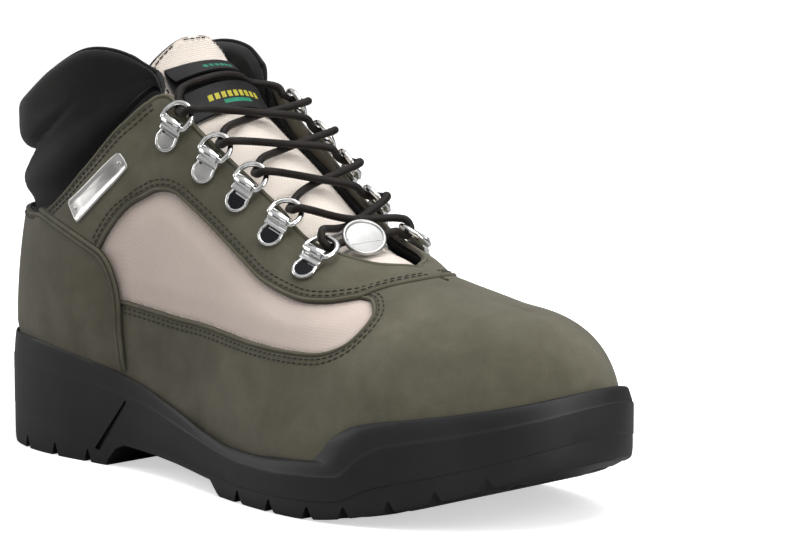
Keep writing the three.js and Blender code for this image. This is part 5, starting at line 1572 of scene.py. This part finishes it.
class Hook:
    """Place and directions of one plate and its ring."""

    def __init__(self, row, side):
        w, level, turn = HOOKS[row]
        u = float(station(w, side))
        self.normal = upper_normal(u, level)
        middle = upper_face(u, level)
        down = upper_face(u, level - 0.05) - upper_face(u, level + 0.05)
        down = unit(down - self.normal * (down @ self.normal))
        turn = math.radians(turn) * side
        self.down = down * math.cos(turn) + np.cross(self.normal, down) * math.sin(turn)
        self.across = unit(np.cross(self.normal, self.down))
        start = middle - self.down * CLIP_LENGTH / 2
        du, dv = np.meshgrid(np.arange(-0.6, 0.601, 0.1), np.arange(-0.14, 0.1401, 0.02), indexing="ij")
        sample = upper_face(u + du, np.minimum(1, level + dv)) - start
        a, d = sample @ self.across, sample @ self.down
        straight = CLIP_LENGTH - CLIP_WIDTH / 2
        on_plate = (d >= 0) & np.where(d <= straight, np.abs(a) <= CLIP_WIDTH / 2,
                                       np.hypot(a, d - straight) <= CLIP_WIDTH / 2)
        on_barrel = (np.abs(a) < CLIP_WIDTH / 2) & (d <= 0) & (d > -2 * BARREL_OUTER)
        high = np.where(on_plate | on_barrel, sample @ self.normal, 0).max()
        self.start = start + self.normal * (max(high, 0) + OVERLAY_RISE + CLEARANCE + FACET_SPARE)
        self.hinge = self.start + self.normal * BARREL_OUTER - self.down * 0.4 * BARREL_OUTER
        angle = math.radians(RING_LIFT_DEGREES)
        self.reach = -self.down * math.cos(angle) + self.normal * math.sin(angle)
        face = unit(np.cross(self.across, self.reach))
        self.face = face if face @ self.normal > 0 else -face

    def on_plate(self, a, d, height):
        a, d, height = np.broadcast_arrays(*(np.asarray(q, float) for q in (a, d, height)))
        return (self.start + self.across * a[..., None] + self.down * d[..., None]
                + self.normal * height[..., None])

    def on_ring(self, a, r, lift=0.0):
        a, r, lift = np.broadcast_arrays(*(np.asarray(q, float) for q in (a, r, lift)))
        return (self.hinge + self.across * a[..., None] + self.reach * r[..., None]
                + self.face * lift[..., None])


def plate_outline(inset, top=0.0, points=18):
    """Tongue-shaped outline of the plate, in from its edge by an inset."""
    half = CLIP_WIDTH / 2 - inset
    straight = CLIP_LENGTH - CLIP_WIDTH / 2
    angle = np.linspace(0, np.pi, points)
    bow = np.column_stack([half * np.cos(angle), straight + half * np.sin(angle)])
    waist = 0.5 * np.sin(np.linspace(0, np.pi, 6))[1:-1]
    down = np.linspace(straight, top + inset, 6)[1:-1]
    left = np.column_stack([-half + waist, down])
    right = np.column_stack([half - waist[::-1], down[::-1]])
    corners_left = np.array([[-half, top + inset]])
    corners_right = np.array([[half, top + inset]])
    return np.vstack([bow, left, corners_left, corners_right, right])


# Section of the strap over the barrel: down the plate and up from it, and the point it narrows towards
STRAP = np.array([
    (-0.9, 0.3), (-0.9, 1.9), (-0.2, 2.55), (0.7, 2.45), (1.3, 2.0), (1.75, 1.72), (2.1, 1.78),
    (2.9, 1.74), (3.35, 1.6), (3.5, 1.15), (3.5, 0.7), (2.0, 0.1), (0.4, 0.0),
])
STRAP_MIDDLE = (1.6, 0.8)
# Rows of the plate's rounded edge: in from the outline, and up
PLATE_EDGE = [(0.0, -0.25), (0.0, 0.65), (0.12, 0.92), (0.35, 1.08), (0.75, 1.12), (1.05, 1.0), (1.2, 0.72)]


def make_hook(row, side, name):
    hook = Hook(row, side)
    shape = Shape()
    rings = []
    for inset, height in PLATE_EDGE:
        outline = plate_outline(inset)
        rings.append(hook.on_plate(outline[:, 0], outline[:, 1], height))
    shape.rings(np.array(rings[:-1]), caps=False)
    count = len(rings[0])
    shape.add(np.array(rings[-2:]), grid_faces(2, count, wrap_columns=True))
    shape.add(rings[0], [list(range(count))[::-1]])
    # Inset field, a little crowned, below the folds; on the three lowest plates it is near-black metal, a
    # painted dark reflection
    field = plate_outline(1.2, top=3.1)
    middle = field.mean(0)
    steps = []
    for share, height in ((1.0, 0.72), (0.8, 0.78), (0.45, 0.84), (0.1, 0.86)):
        ring = middle + (field - middle) * share
        steps.append(hook.on_plate(ring[:, 0], ring[:, 1], height))
    field_slot = 1 if row >= 2 else 2
    shape.add(np.array(steps), grid_faces(4, count, wrap_columns=True), field_slot)
    shape.add(steps[-1], [list(range(count))], field_slot)
    # Strap folded over the barrel, with one furrow across it
    strap = through(STRAP, np.linspace(0, len(STRAP) - 1, 49))
    half = CLIP_WIDTH / 2 - 0.1
    sides = []
    down, height = STRAP_MIDDLE
    for a, squeeze in ((-half, 0.86), (-half + 0.12, 0.94), (-half + 0.4, 1.0), (half - 0.4, 1.0),
                       (half - 0.12, 0.94), (half, 0.86)):
        sides.append(hook.on_plate(a, down + (strap[:, 0] - down) * squeeze,
                                   height + (strap[:, 1] - height) * squeeze))
    shape.rings(np.array(sides))
    # Barrel round the ring's straight side
    angle = np.linspace(0, 2 * np.pi, 20, endpoint=False)
    barrel_half = CLIP_WIDTH / 2 - 0.7
    rings = []
    one_end = [(barrel_half, WIRE_RADIUS + 0.2), (barrel_half, BARREL_OUTER - 0.25),
               (barrel_half - 0.3, BARREL_OUTER)]
    for a, r in [(-a, r) for a, r in one_end] + one_end[::-1]:
        rings.append(hook.hinge + hook.across * a + r * (hook.down * np.cos(angle)[:, None]
                                                         + hook.normal * np.sin(angle)[:, None]))
    shape.rings(np.array(rings), caps=False, wrap=True)
    shape.build(f"clip_{name}", [STEEL, INSET_PAINTED_REFLECTION, SATIN_STEEL], f"lace_clip_{name}", "bright_metal",
                sharp=45)
    # Ring
    half = RING_WIDTH / 2
    bow_angle = np.linspace(0, np.pi, 40)
    bow = hook.on_ring(half * 1.04 * np.cos(bow_angle), RING_REACH - half + half * np.sin(bow_angle))
    left = hook.on_ring(np.linspace(-half * 1.04, -half, 8)[1:], np.linspace(RING_REACH - half, 0.9, 8)[1:])
    corner_angle = np.linspace(np.pi, 1.5 * np.pi, 6)[1:]
    low_left = hook.on_ring(-half + 1 + np.cos(corner_angle), 1 + np.sin(corner_angle))
    bar = hook.on_ring(np.linspace(-half + 1, half - 1, 14)[1:-1], 0.0)
    low_right = hook.on_ring(half - 1 - np.cos(corner_angle[::-1]), 1 + np.sin(corner_angle[::-1]))
    right = hook.on_ring(np.linspace(half, half * 1.04, 8)[:-1],
                         np.linspace(0.9, RING_REACH - half, 8)[:-1])
    path = np.vstack([bow, left, low_left, bar, low_right, right])
    ring = Shape()
    ring.rings(tube_rings(path, WIRE_RADIUS, 14, closed=True), wrap=True)
    ring.build(f"ring_{name}", [STEEL], f"lace_ring_{name}", "bright_metal")
    return hook


hooks = {}
for side, word in ((LATERAL, "lateral"), (MEDIAL, "medial")):
    for row in range(len(HOOKS)):
        hooks[side, row] = make_hook(row, side, f"{word}_{row + 1}")


# Lace
PASS = WIRE_RADIUS + CLEARANCE + LACE_RADIUS
BOW_CENTRE = RING_REACH - RING_WIDTH / 2
BOW_RADIUS = RING_WIDTH / 2


def pulled(hook, target, rise=1.0):
    """Direction in the plane of a ring in which the lace pulls, as shares across and along the ring."""
    centre = hook.on_ring(0, BOW_CENTRE)
    pull = unit(np.array([(target - centre) @ hook.across, (target - centre) @ hook.reach]))
    pull[1] = max(rise * pull[1], 0.4)
    return unit(pull)


def beside_bow(hook, pull, radius, lift):
    return hook.on_ring(pull[0] * radius, BOW_CENTRE + pull[1] * radius, lift)


def over_ring(hook, target):
    """Points of a strand that comes from a target and goes over the bow into the ring."""
    pull = pulled(hook, target, 0.6)
    rows = ((2.9, 0.6), (0, 0.98), (-2.7, 0.62))
    return [beside_bow(hook, pull, BOW_RADIUS + out, lift * PASS) for out, lift in rows]


def under_ring(hook, target):
    """Points of a strand that leaves a ring below its bow towards a target."""
    pull = pulled(hook, target)
    rows = ((-2.7, -0.62), (0, -1), (3.4, -1.1))
    return [beside_bow(hook, pull, BOW_RADIUS + out, lift * PASS) for out, lift in rows]


def turn_at(hook, first, second):
    pull = unit(pulled(hook, first) + pulled(hook, second))
    return [beside_bow(hook, pull, BOW_RADIUS - 3.4, 0.0)]


def crossing(row):
    """Middle of the crossing above a row of hooks, and the way out from the tongue there."""
    low, high = row + 1, row
    four = [hooks[LATERAL, low], hooks[MEDIAL, high], hooks[MEDIAL, low], hooks[LATERAL, high]]
    middle = sum(hook.on_ring(0, LACE_TURN, -0.1 * PASS) for hook in four) / 4
    out = unit(sum(hook.normal for hook in four))
    return middle - out * LACE_DROP, out


def bottom_middle():
    """Middle of the lowest bar, and the way from the outer to the inner ring there."""
    ends = [hooks[side, 4].on_ring(0, LACE_TURN, -PASS) for side in (LATERAL, MEDIAL)]
    out = unit(hooks[LATERAL, 4].normal + hooks[MEDIAL, 4].normal)
    return (ends[0] + ends[1]) / 2 - out * BAR_DROP, unit(ends[1] - ends[0])


def label_run(across):
    label_lift = LABEL_LIFT + LABEL_THICKNESS + LABEL_OPENING / 2
    return on_tongue((LABEL_FROM + LABEL_TO) / 2, across, label_lift)


def half_route(start_side):
    """From the bottom bar up through the rings to a top ring, for one half of the lace."""
    side = start_side
    points = []
    below = bottom_middle()[0]
    for row in (4, 3, 2, 1, 0):
        if row > 0:
            middle, out = crossing(row - 1)
            lift = LACE_RADIUS if side == MEDIAL else -LACE_RADIUS
            above = middle + out * lift
        else:
            above = label_run(0.8 * side)
        hook = hooks[side, row]
        if row == 4:
            points += under_ring(hook, below)[::-1] + turn_at(hook, below, above)
            points += over_ring(hook, above)[::-1]
        else:
            points += over_ring(hook, below) + turn_at(hook, below, above) + under_ring(hook, above)
        points.append(above)
        below = above
        side = -side
    return points


def lace_route():
    """The whole lace as one loop that closes behind the medallion."""
    first, second = half_route(LATERAL), half_route(MEDIAL)
    top = [label_run(0.42 * MEDIAL), label_run(0.0), label_run(0.42 * LATERAL)]
    return [bottom_middle()[0]] + second + top + first[::-1] + [bottom_middle()[0]]


def smooth_path(points, spacing):
    """Evenly spaced centripetal curve through given points."""
    points = np.array(points)
    knots = np.concatenate([[0], np.cumsum(np.linalg.norm(np.diff(points, axis=0), axis=1) ** 0.5)])
    closed = np.linalg.norm(points[0] - points[-1]) < 0.01
    before, after = 2 * points[0] - points[1], 2 * points[-1] - points[-2]
    if closed:
        before, after = points[-2], points[1]
    padded = np.vstack([before, points, after])
    t = np.concatenate([[knots[0] - (knots[1] - knots[0])], knots, [knots[-1] + (knots[-1] - knots[-2])]])
    result = []
    for k in range(1, len(padded) - 2):
        s = np.linspace(t[k], t[k + 1], 24, endpoint=False)[:, None]
        p0, p1, p2, p3 = padded[k - 1:k + 3]
        t0, t1, t2, t3 = t[k - 1:k + 3]
        a1 = (t1 - s) / (t1 - t0) * p0 + (s - t0) / (t1 - t0) * p1
        a2 = (t2 - s) / (t2 - t1) * p1 + (s - t1) / (t2 - t1) * p2
        a3 = (t3 - s) / (t3 - t2) * p2 + (s - t2) / (t3 - t2) * p3
        b1 = (t2 - s) / (t2 - t0) * a1 + (s - t0) / (t2 - t0) * a2
        b2 = (t3 - s) / (t3 - t1) * a2 + (s - t1) / (t3 - t1) * a3
        result.append((t2 - s) / (t2 - t1) * b1 + (s - t1) / (t2 - t1) * b2)
    result.append(points[-1:])
    return spaced(np.vstack(result), spacing)


def make_lace():
    spacing = 0.5
    path = smooth_path(lace_route(), spacing)
    sides = 20
    a, b = transport_frames(path)
    angle = np.linspace(0, 2 * np.pi, sides, endpoint=False)[None]
    run = (np.arange(len(path)) * spacing)[:, None]
    # Braid: strands wind both ways round the cord
    strands = 5
    pitch = 3.75
    left = np.abs(np.sin(strands * angle + 2 * np.pi / pitch * run))
    right = np.abs(np.sin(strands * angle - 2 * np.pi / pitch * run))
    ridge = np.maximum(left, right)
    radius = LACE_RADIUS - 0.22 + 0.24 * ridge
    points = path[:, None] + radius[..., None] * (a[:, None] * np.cos(angle)[..., None]
                                                  + b[:, None] * np.sin(angle)[..., None])
    shape = Shape()
    # Painted shade between the strands and a painted highlight on their crests
    shape.rings(points, shade=0.75 + 0.45 * ridge)
    nodes = ["lace_bar_low", "lace_bar_top"] + [f"lace_crossing_{k}" for k in range(1, 5)]
    shape.build("lace", [LACE], nodes, "lace_cord", sharp=180)


make_lace()


# Lace keeper: bare oval medallion with a wire frame at each end round the lace
def make_keeper():
    bottom, along = bottom_middle()
    bottom = bottom - along * KEEPER_SHIFT
    tilt = math.radians(MEDALLION_TILT_DEGREES)
    face = np.array([math.sin(tilt), 0.0, math.cos(tilt)])
    face = unit(face - along * (face @ along))
    up = np.cross(face, along)
    lift = LACE_RADIUS + CLEARANCE + 0.2
    shape = Shape()
    angle = np.linspace(0, 2 * np.pi, 72, endpoint=False)

    def oval(inset, height):
        a = (MEDALLION_LENGTH / 2 - inset) * np.cos(angle)
        b = (MEDALLION_HEIGHT / 2 - inset) * np.sin(angle)
        return bottom + along * a[:, None] + up * b[:, None] + face * (lift + height)

    top = MEDALLION_THICKNESS
    rows = [(0.5, 0.0), (0.1, 0.15), (0.0, 0.6), (0.08, 1.15), (0.4, top - 0.05), (0.8, top),
            (1.3, top - 0.1), (1.6, top - 0.5), (3.4, top - 0.42), (6.0, top - 0.34)]
    shape.rings(np.array([oval(inset, height) for inset, height in rows]))
    # Line across the lower third
    bar = np.linspace(-0.8, 0.8, 24)
    line = bottom + along * (bar * (MEDALLION_LENGTH / 2 - 1.4))[:, None] - up * 2.4
    shape.rings(tube_rings(line + face * (lift + top - 0.5), 0.24, 8))
    # Frames that reach behind the lace
    half = FRAME_HEIGHT / 2
    behind = -(LACE_RADIUS + CLEARANCE + FRAME_WIRE)
    for end in (-1, 1):
        inner = end * 0.36 * MEDALLION_LENGTH
        outer = end * (MEDALLION_LENGTH / 2 + FRAME_REACH)
        corners = np.array([(inner, half, lift + FRAME_WIRE), (outer, half, behind), (outer, -half, behind),
                            (inner, -half, lift + FRAME_WIRE)])
        path = []
        for k in range(3):
            step = unit(corners[k + 1] - corners[k]) * 1.1
            path.extend([corners[k] + step * (0.4 if k else 0), corners[k] + step,
                         (corners[k] + corners[k + 1]) / 2, corners[k + 1] - step,
                         corners[k + 1] - step * (0.4 if k < 2 else 0)])
        path = np.array([bottom + along * q[0] + up * q[1] + face * q[2] for q in path])
        shape.rings(tube_rings(path, FRAME_WIRE, 12))
    shape.build("keeper_medallion", [WORN_STEEL], "lace_keeper", "bright_metal", sharp=50)


make_keeper()


# Bare plate on the outer ankle
PLATE_CORNERS = np.array([[11.45, 0.74], [12.9, 0.71], [13.35, 0.88], [11.9, 0.85]])


def make_plate():
    shape = Shape()
    a, b, c, d = PLATE_CORNERS
    long_side = float(np.linalg.norm(upper_face(*a) - upper_face(*b)))
    short_side = float(np.linalg.norm(upper_face(*a) - upper_face(*d)))

    def outline(inset, corner):
        s_in, t_in = inset / long_side, inset / short_side
        rs, rt = corner / long_side, corner / short_side
        result = []
        for cs, ct, first in ((1 - s_in - rs, 1 - t_in - rt, 0), (s_in + rs, 1 - t_in - rt, 90),
                              (s_in + rs, t_in + rt, 180), (1 - s_in - rs, t_in + rt, 270)):
            turn = np.radians(np.linspace(first, first + 90, 6))
            result.append(np.column_stack([cs + rs * np.cos(turn), ct + rt * np.sin(turn)]))
        corners = np.vstack(result)
        filled = []
        for p, q in zip(corners, np.roll(corners, -1, 0)):
            steps = max(1, int(np.abs((q - p) * [long_side, short_side]).max() / 1.5))
            filled.append(p + (q - p) * np.linspace(0, 1, steps, endpoint=False)[:, None])
        return np.vstack(filled)

    def placed(st, height):
        s, t = st[:, :1], st[:, 1:]
        uv = (a * (1 - s) + b * s) * (1 - t) + (d * (1 - s) + c * s) * t
        return on_face(uv[:, 0], uv[:, 1], OVERLAY_RISE + 0.1 + height)

    full = outline(0.0, 1.6)
    middle = np.array([0.5, 0.5])
    rows = [(0.0, 0.0), (0.0, 0.62), (0.12, 0.86), (0.35, 0.97), (0.75, 0.95), (0.95, 0.74)]
    rings = []
    for inset, height in rows:
        shrink = 1 - 2 * inset / np.array([long_side, short_side])
        rings.append(placed(middle + (full - middle) * shrink, height))
    for share, height in ((0.6, 0.74), (0.25, 0.74), (0.04, 0.74)):
        shrink = (1 - 2 * 0.95 / np.array([long_side, short_side])) * share
        rings.append(placed(middle + (full - middle) * shrink, height))
    shape.rings(np.array(rings))
    # Two rivets
    for s, t in ((0.09, 0.5), (0.91, 0.5)):
        centre = placed(np.array([[s, t]]), 0.7)[0]
        uv = (a * (1 - s) + b * s) * (1 - t) + (d * (1 - s) + c * s) * t
        out = upper_normal(*uv)
        x = unit(np.cross(out, [0, 0, 1.0]))
        y = np.cross(out, x)
        turn = np.linspace(0, 2 * np.pi, 20, endpoint=False)
        dome = [centre + r * (x * np.cos(turn)[:, None] + y * np.sin(turn)[:, None]) + out * h
                for r, h in ((0.95, -0.1), (0.95, 0.12), (0.75, 0.3), (0.35, 0.4))]
        shape.rings(np.array(dome))
    shape.build("side_plate_bare", [SATIN_STEEL], "side_plate", "bright_metal", sharp=50)


make_plate()


# Camera: azimuth and elevation of the photograph, distance and lens fitted to the sole's outline
PHOTO_WIDTH = 811
CAMERA_AZIMUTH = math.radians(44.64)
CAMERA_ELEVATION = math.radians(7.87)
CAMERA_DISTANCE = 1265.38
CAMERA_FOCAL = 3362.31
CAMERA_TARGET = (208.96, 4.78, 83.53)


def make_camera():
    data = bpy.data.cameras.new("camera")
    data.sensor_width = 36.0
    data.lens = CAMERA_FOCAL * data.sensor_width / PHOTO_WIDTH
    data.clip_start = 0.01
    data.clip_end = 100
    camera = bpy.data.objects.new("camera", data)
    bpy.context.scene.collection.objects.link(camera)
    back = Vector((math.sin(CAMERA_AZIMUTH) * math.cos(CAMERA_ELEVATION),
                   -math.cos(CAMERA_AZIMUTH) * math.cos(CAMERA_ELEVATION), math.sin(CAMERA_ELEVATION)))
    target = Vector(to_frame(CAMERA_TARGET))
    camera.location = target + back * CAMERA_DISTANCE * MM
    camera.rotation_euler = back.to_track_quat("Z", "Y").to_euler()
    bpy.context.scene.camera = camera


make_camera()


# Studio: the sky's brightness from straight down (0) over the horizon (0.5) to straight up (1)
SKY = [(0.0, 0.3), (0.46, 0.3), (0.5, 0.08), (0.6, 0.12), (0.72, 0.4), (1.0, 0.7)]
FLOOR_HALF = 12.0
FLOOR_FOR_BOOT = 0.42
FLOOR_GLOW = 0.54


def area_light(name, place, aim, size, power, colour=(1, 1, 1)):
    data = bpy.data.lights.new(name, "AREA")
    data.shape = "RECTANGLE"
    data.size, data.size_y = size
    data.energy = power
    data.color = colour
    lamp = bpy.data.objects.new(name, data)
    bpy.context.scene.collection.objects.link(lamp)
    lamp.location = place
    lamp.rotation_euler = (Vector(place) - Vector(aim)).to_track_quat("Z", "Y").to_euler()


def make_studio():
    mesh = bpy.data.meshes.new("floor")
    corners = [(x * FLOOR_HALF, y * FLOOR_HALF, 0) for x, y in ((-1, -1), (1, -1), (1, 1), (-1, 1))]
    mesh.from_pydata(corners, [], [(0, 1, 2, 3)])
    floor = bpy.data.objects.new("floor", mesh)
    bpy.context.scene.collection.objects.link(floor)
    # The floor is white to the camera and greyer to the boot, as under a shielded studio light
    g = Graph("floor_white", Specular_IOR_Level=0.1, Emission_Color=(1, 1, 1, 1))
    seen = g.node("ShaderNodeLightPath").outputs["Is Camera Ray"]
    tone = g.ramp(g.noise(g.object_space(), 3, 2), [(0.3, grey(0.92)), (0.7, grey(0.94))])
    tone = g.times(tone, g.scaled(seen, FLOOR_FOR_BOOT, 1.0))
    g.tree.links.new(g.math("MULTIPLY", seen, FLOOR_GLOW), g.shader.inputs["Emission Strength"])
    mesh.materials.append(g.finish(tone, g.scaled(g.noise(g.object_space(), 8, 2), 0.7, 0.8)))
    area_light("top_box", (0.3, 0.1, 1.25), (0.0, 0.0, 0.05), (1.3, 1.1), 13.5)
    area_light("right_strip", (1.1, 0.1, 0.5), (0.1, 0.0, 0.06), (0.35, 0.8), 6)
    area_light("front_fill", (0.35, -1.5, 0.6), (0.0, 0.0, 0.06), (1.0, 0.6), 1.4)
    area_light("left_fill", (-1.2, -0.7, 0.5), (-0.05, 0.0, 0.07), (0.7, 0.7), 4.6)
    world = bpy.data.worlds.new("studio")
    world.use_nodes = True
    bpy.context.scene.world = world
    tree = world.node_tree
    background = tree.nodes["Background"]
    # White where the camera sees it; the boot is lit by a sky that is dark round the horizon
    direction = tree.nodes.new("ShaderNodeTexCoord")
    split = tree.nodes.new("ShaderNodeSeparateXYZ")
    tree.links.new(direction.outputs["Generated"], split.inputs[0])
    height = tree.nodes.new("ShaderNodeMapRange")
    height.inputs["From Min"].default_value = -1
    tree.links.new(split.outputs["Z"], height.inputs["Value"])
    ramp = tree.nodes.new("ShaderNodeValToRGB")
    tree.links.new(height.outputs["Result"], ramp.inputs["Fac"])
    fill_ramp(ramp, [(height, grey(value)) for height, value in SKY])
    seen = tree.nodes.new("ShaderNodeLightPath")
    mix = tree.nodes.new("ShaderNodeMix")
    mix.data_type = "RGBA"
    tree.links.new(seen.outputs["Is Camera Ray"], mix.inputs["Factor"])
    tree.links.new(ramp.outputs["Color"], mix.inputs["A"])
    mix.inputs["B"].default_value = (1, 1, 1, 1)
    tree.links.new(mix.outputs["Result"], background.inputs["Color"])
    background.inputs["Strength"].default_value = 1.0
    bpy.context.scene.view_settings.view_transform = "Standard"


make_studio()
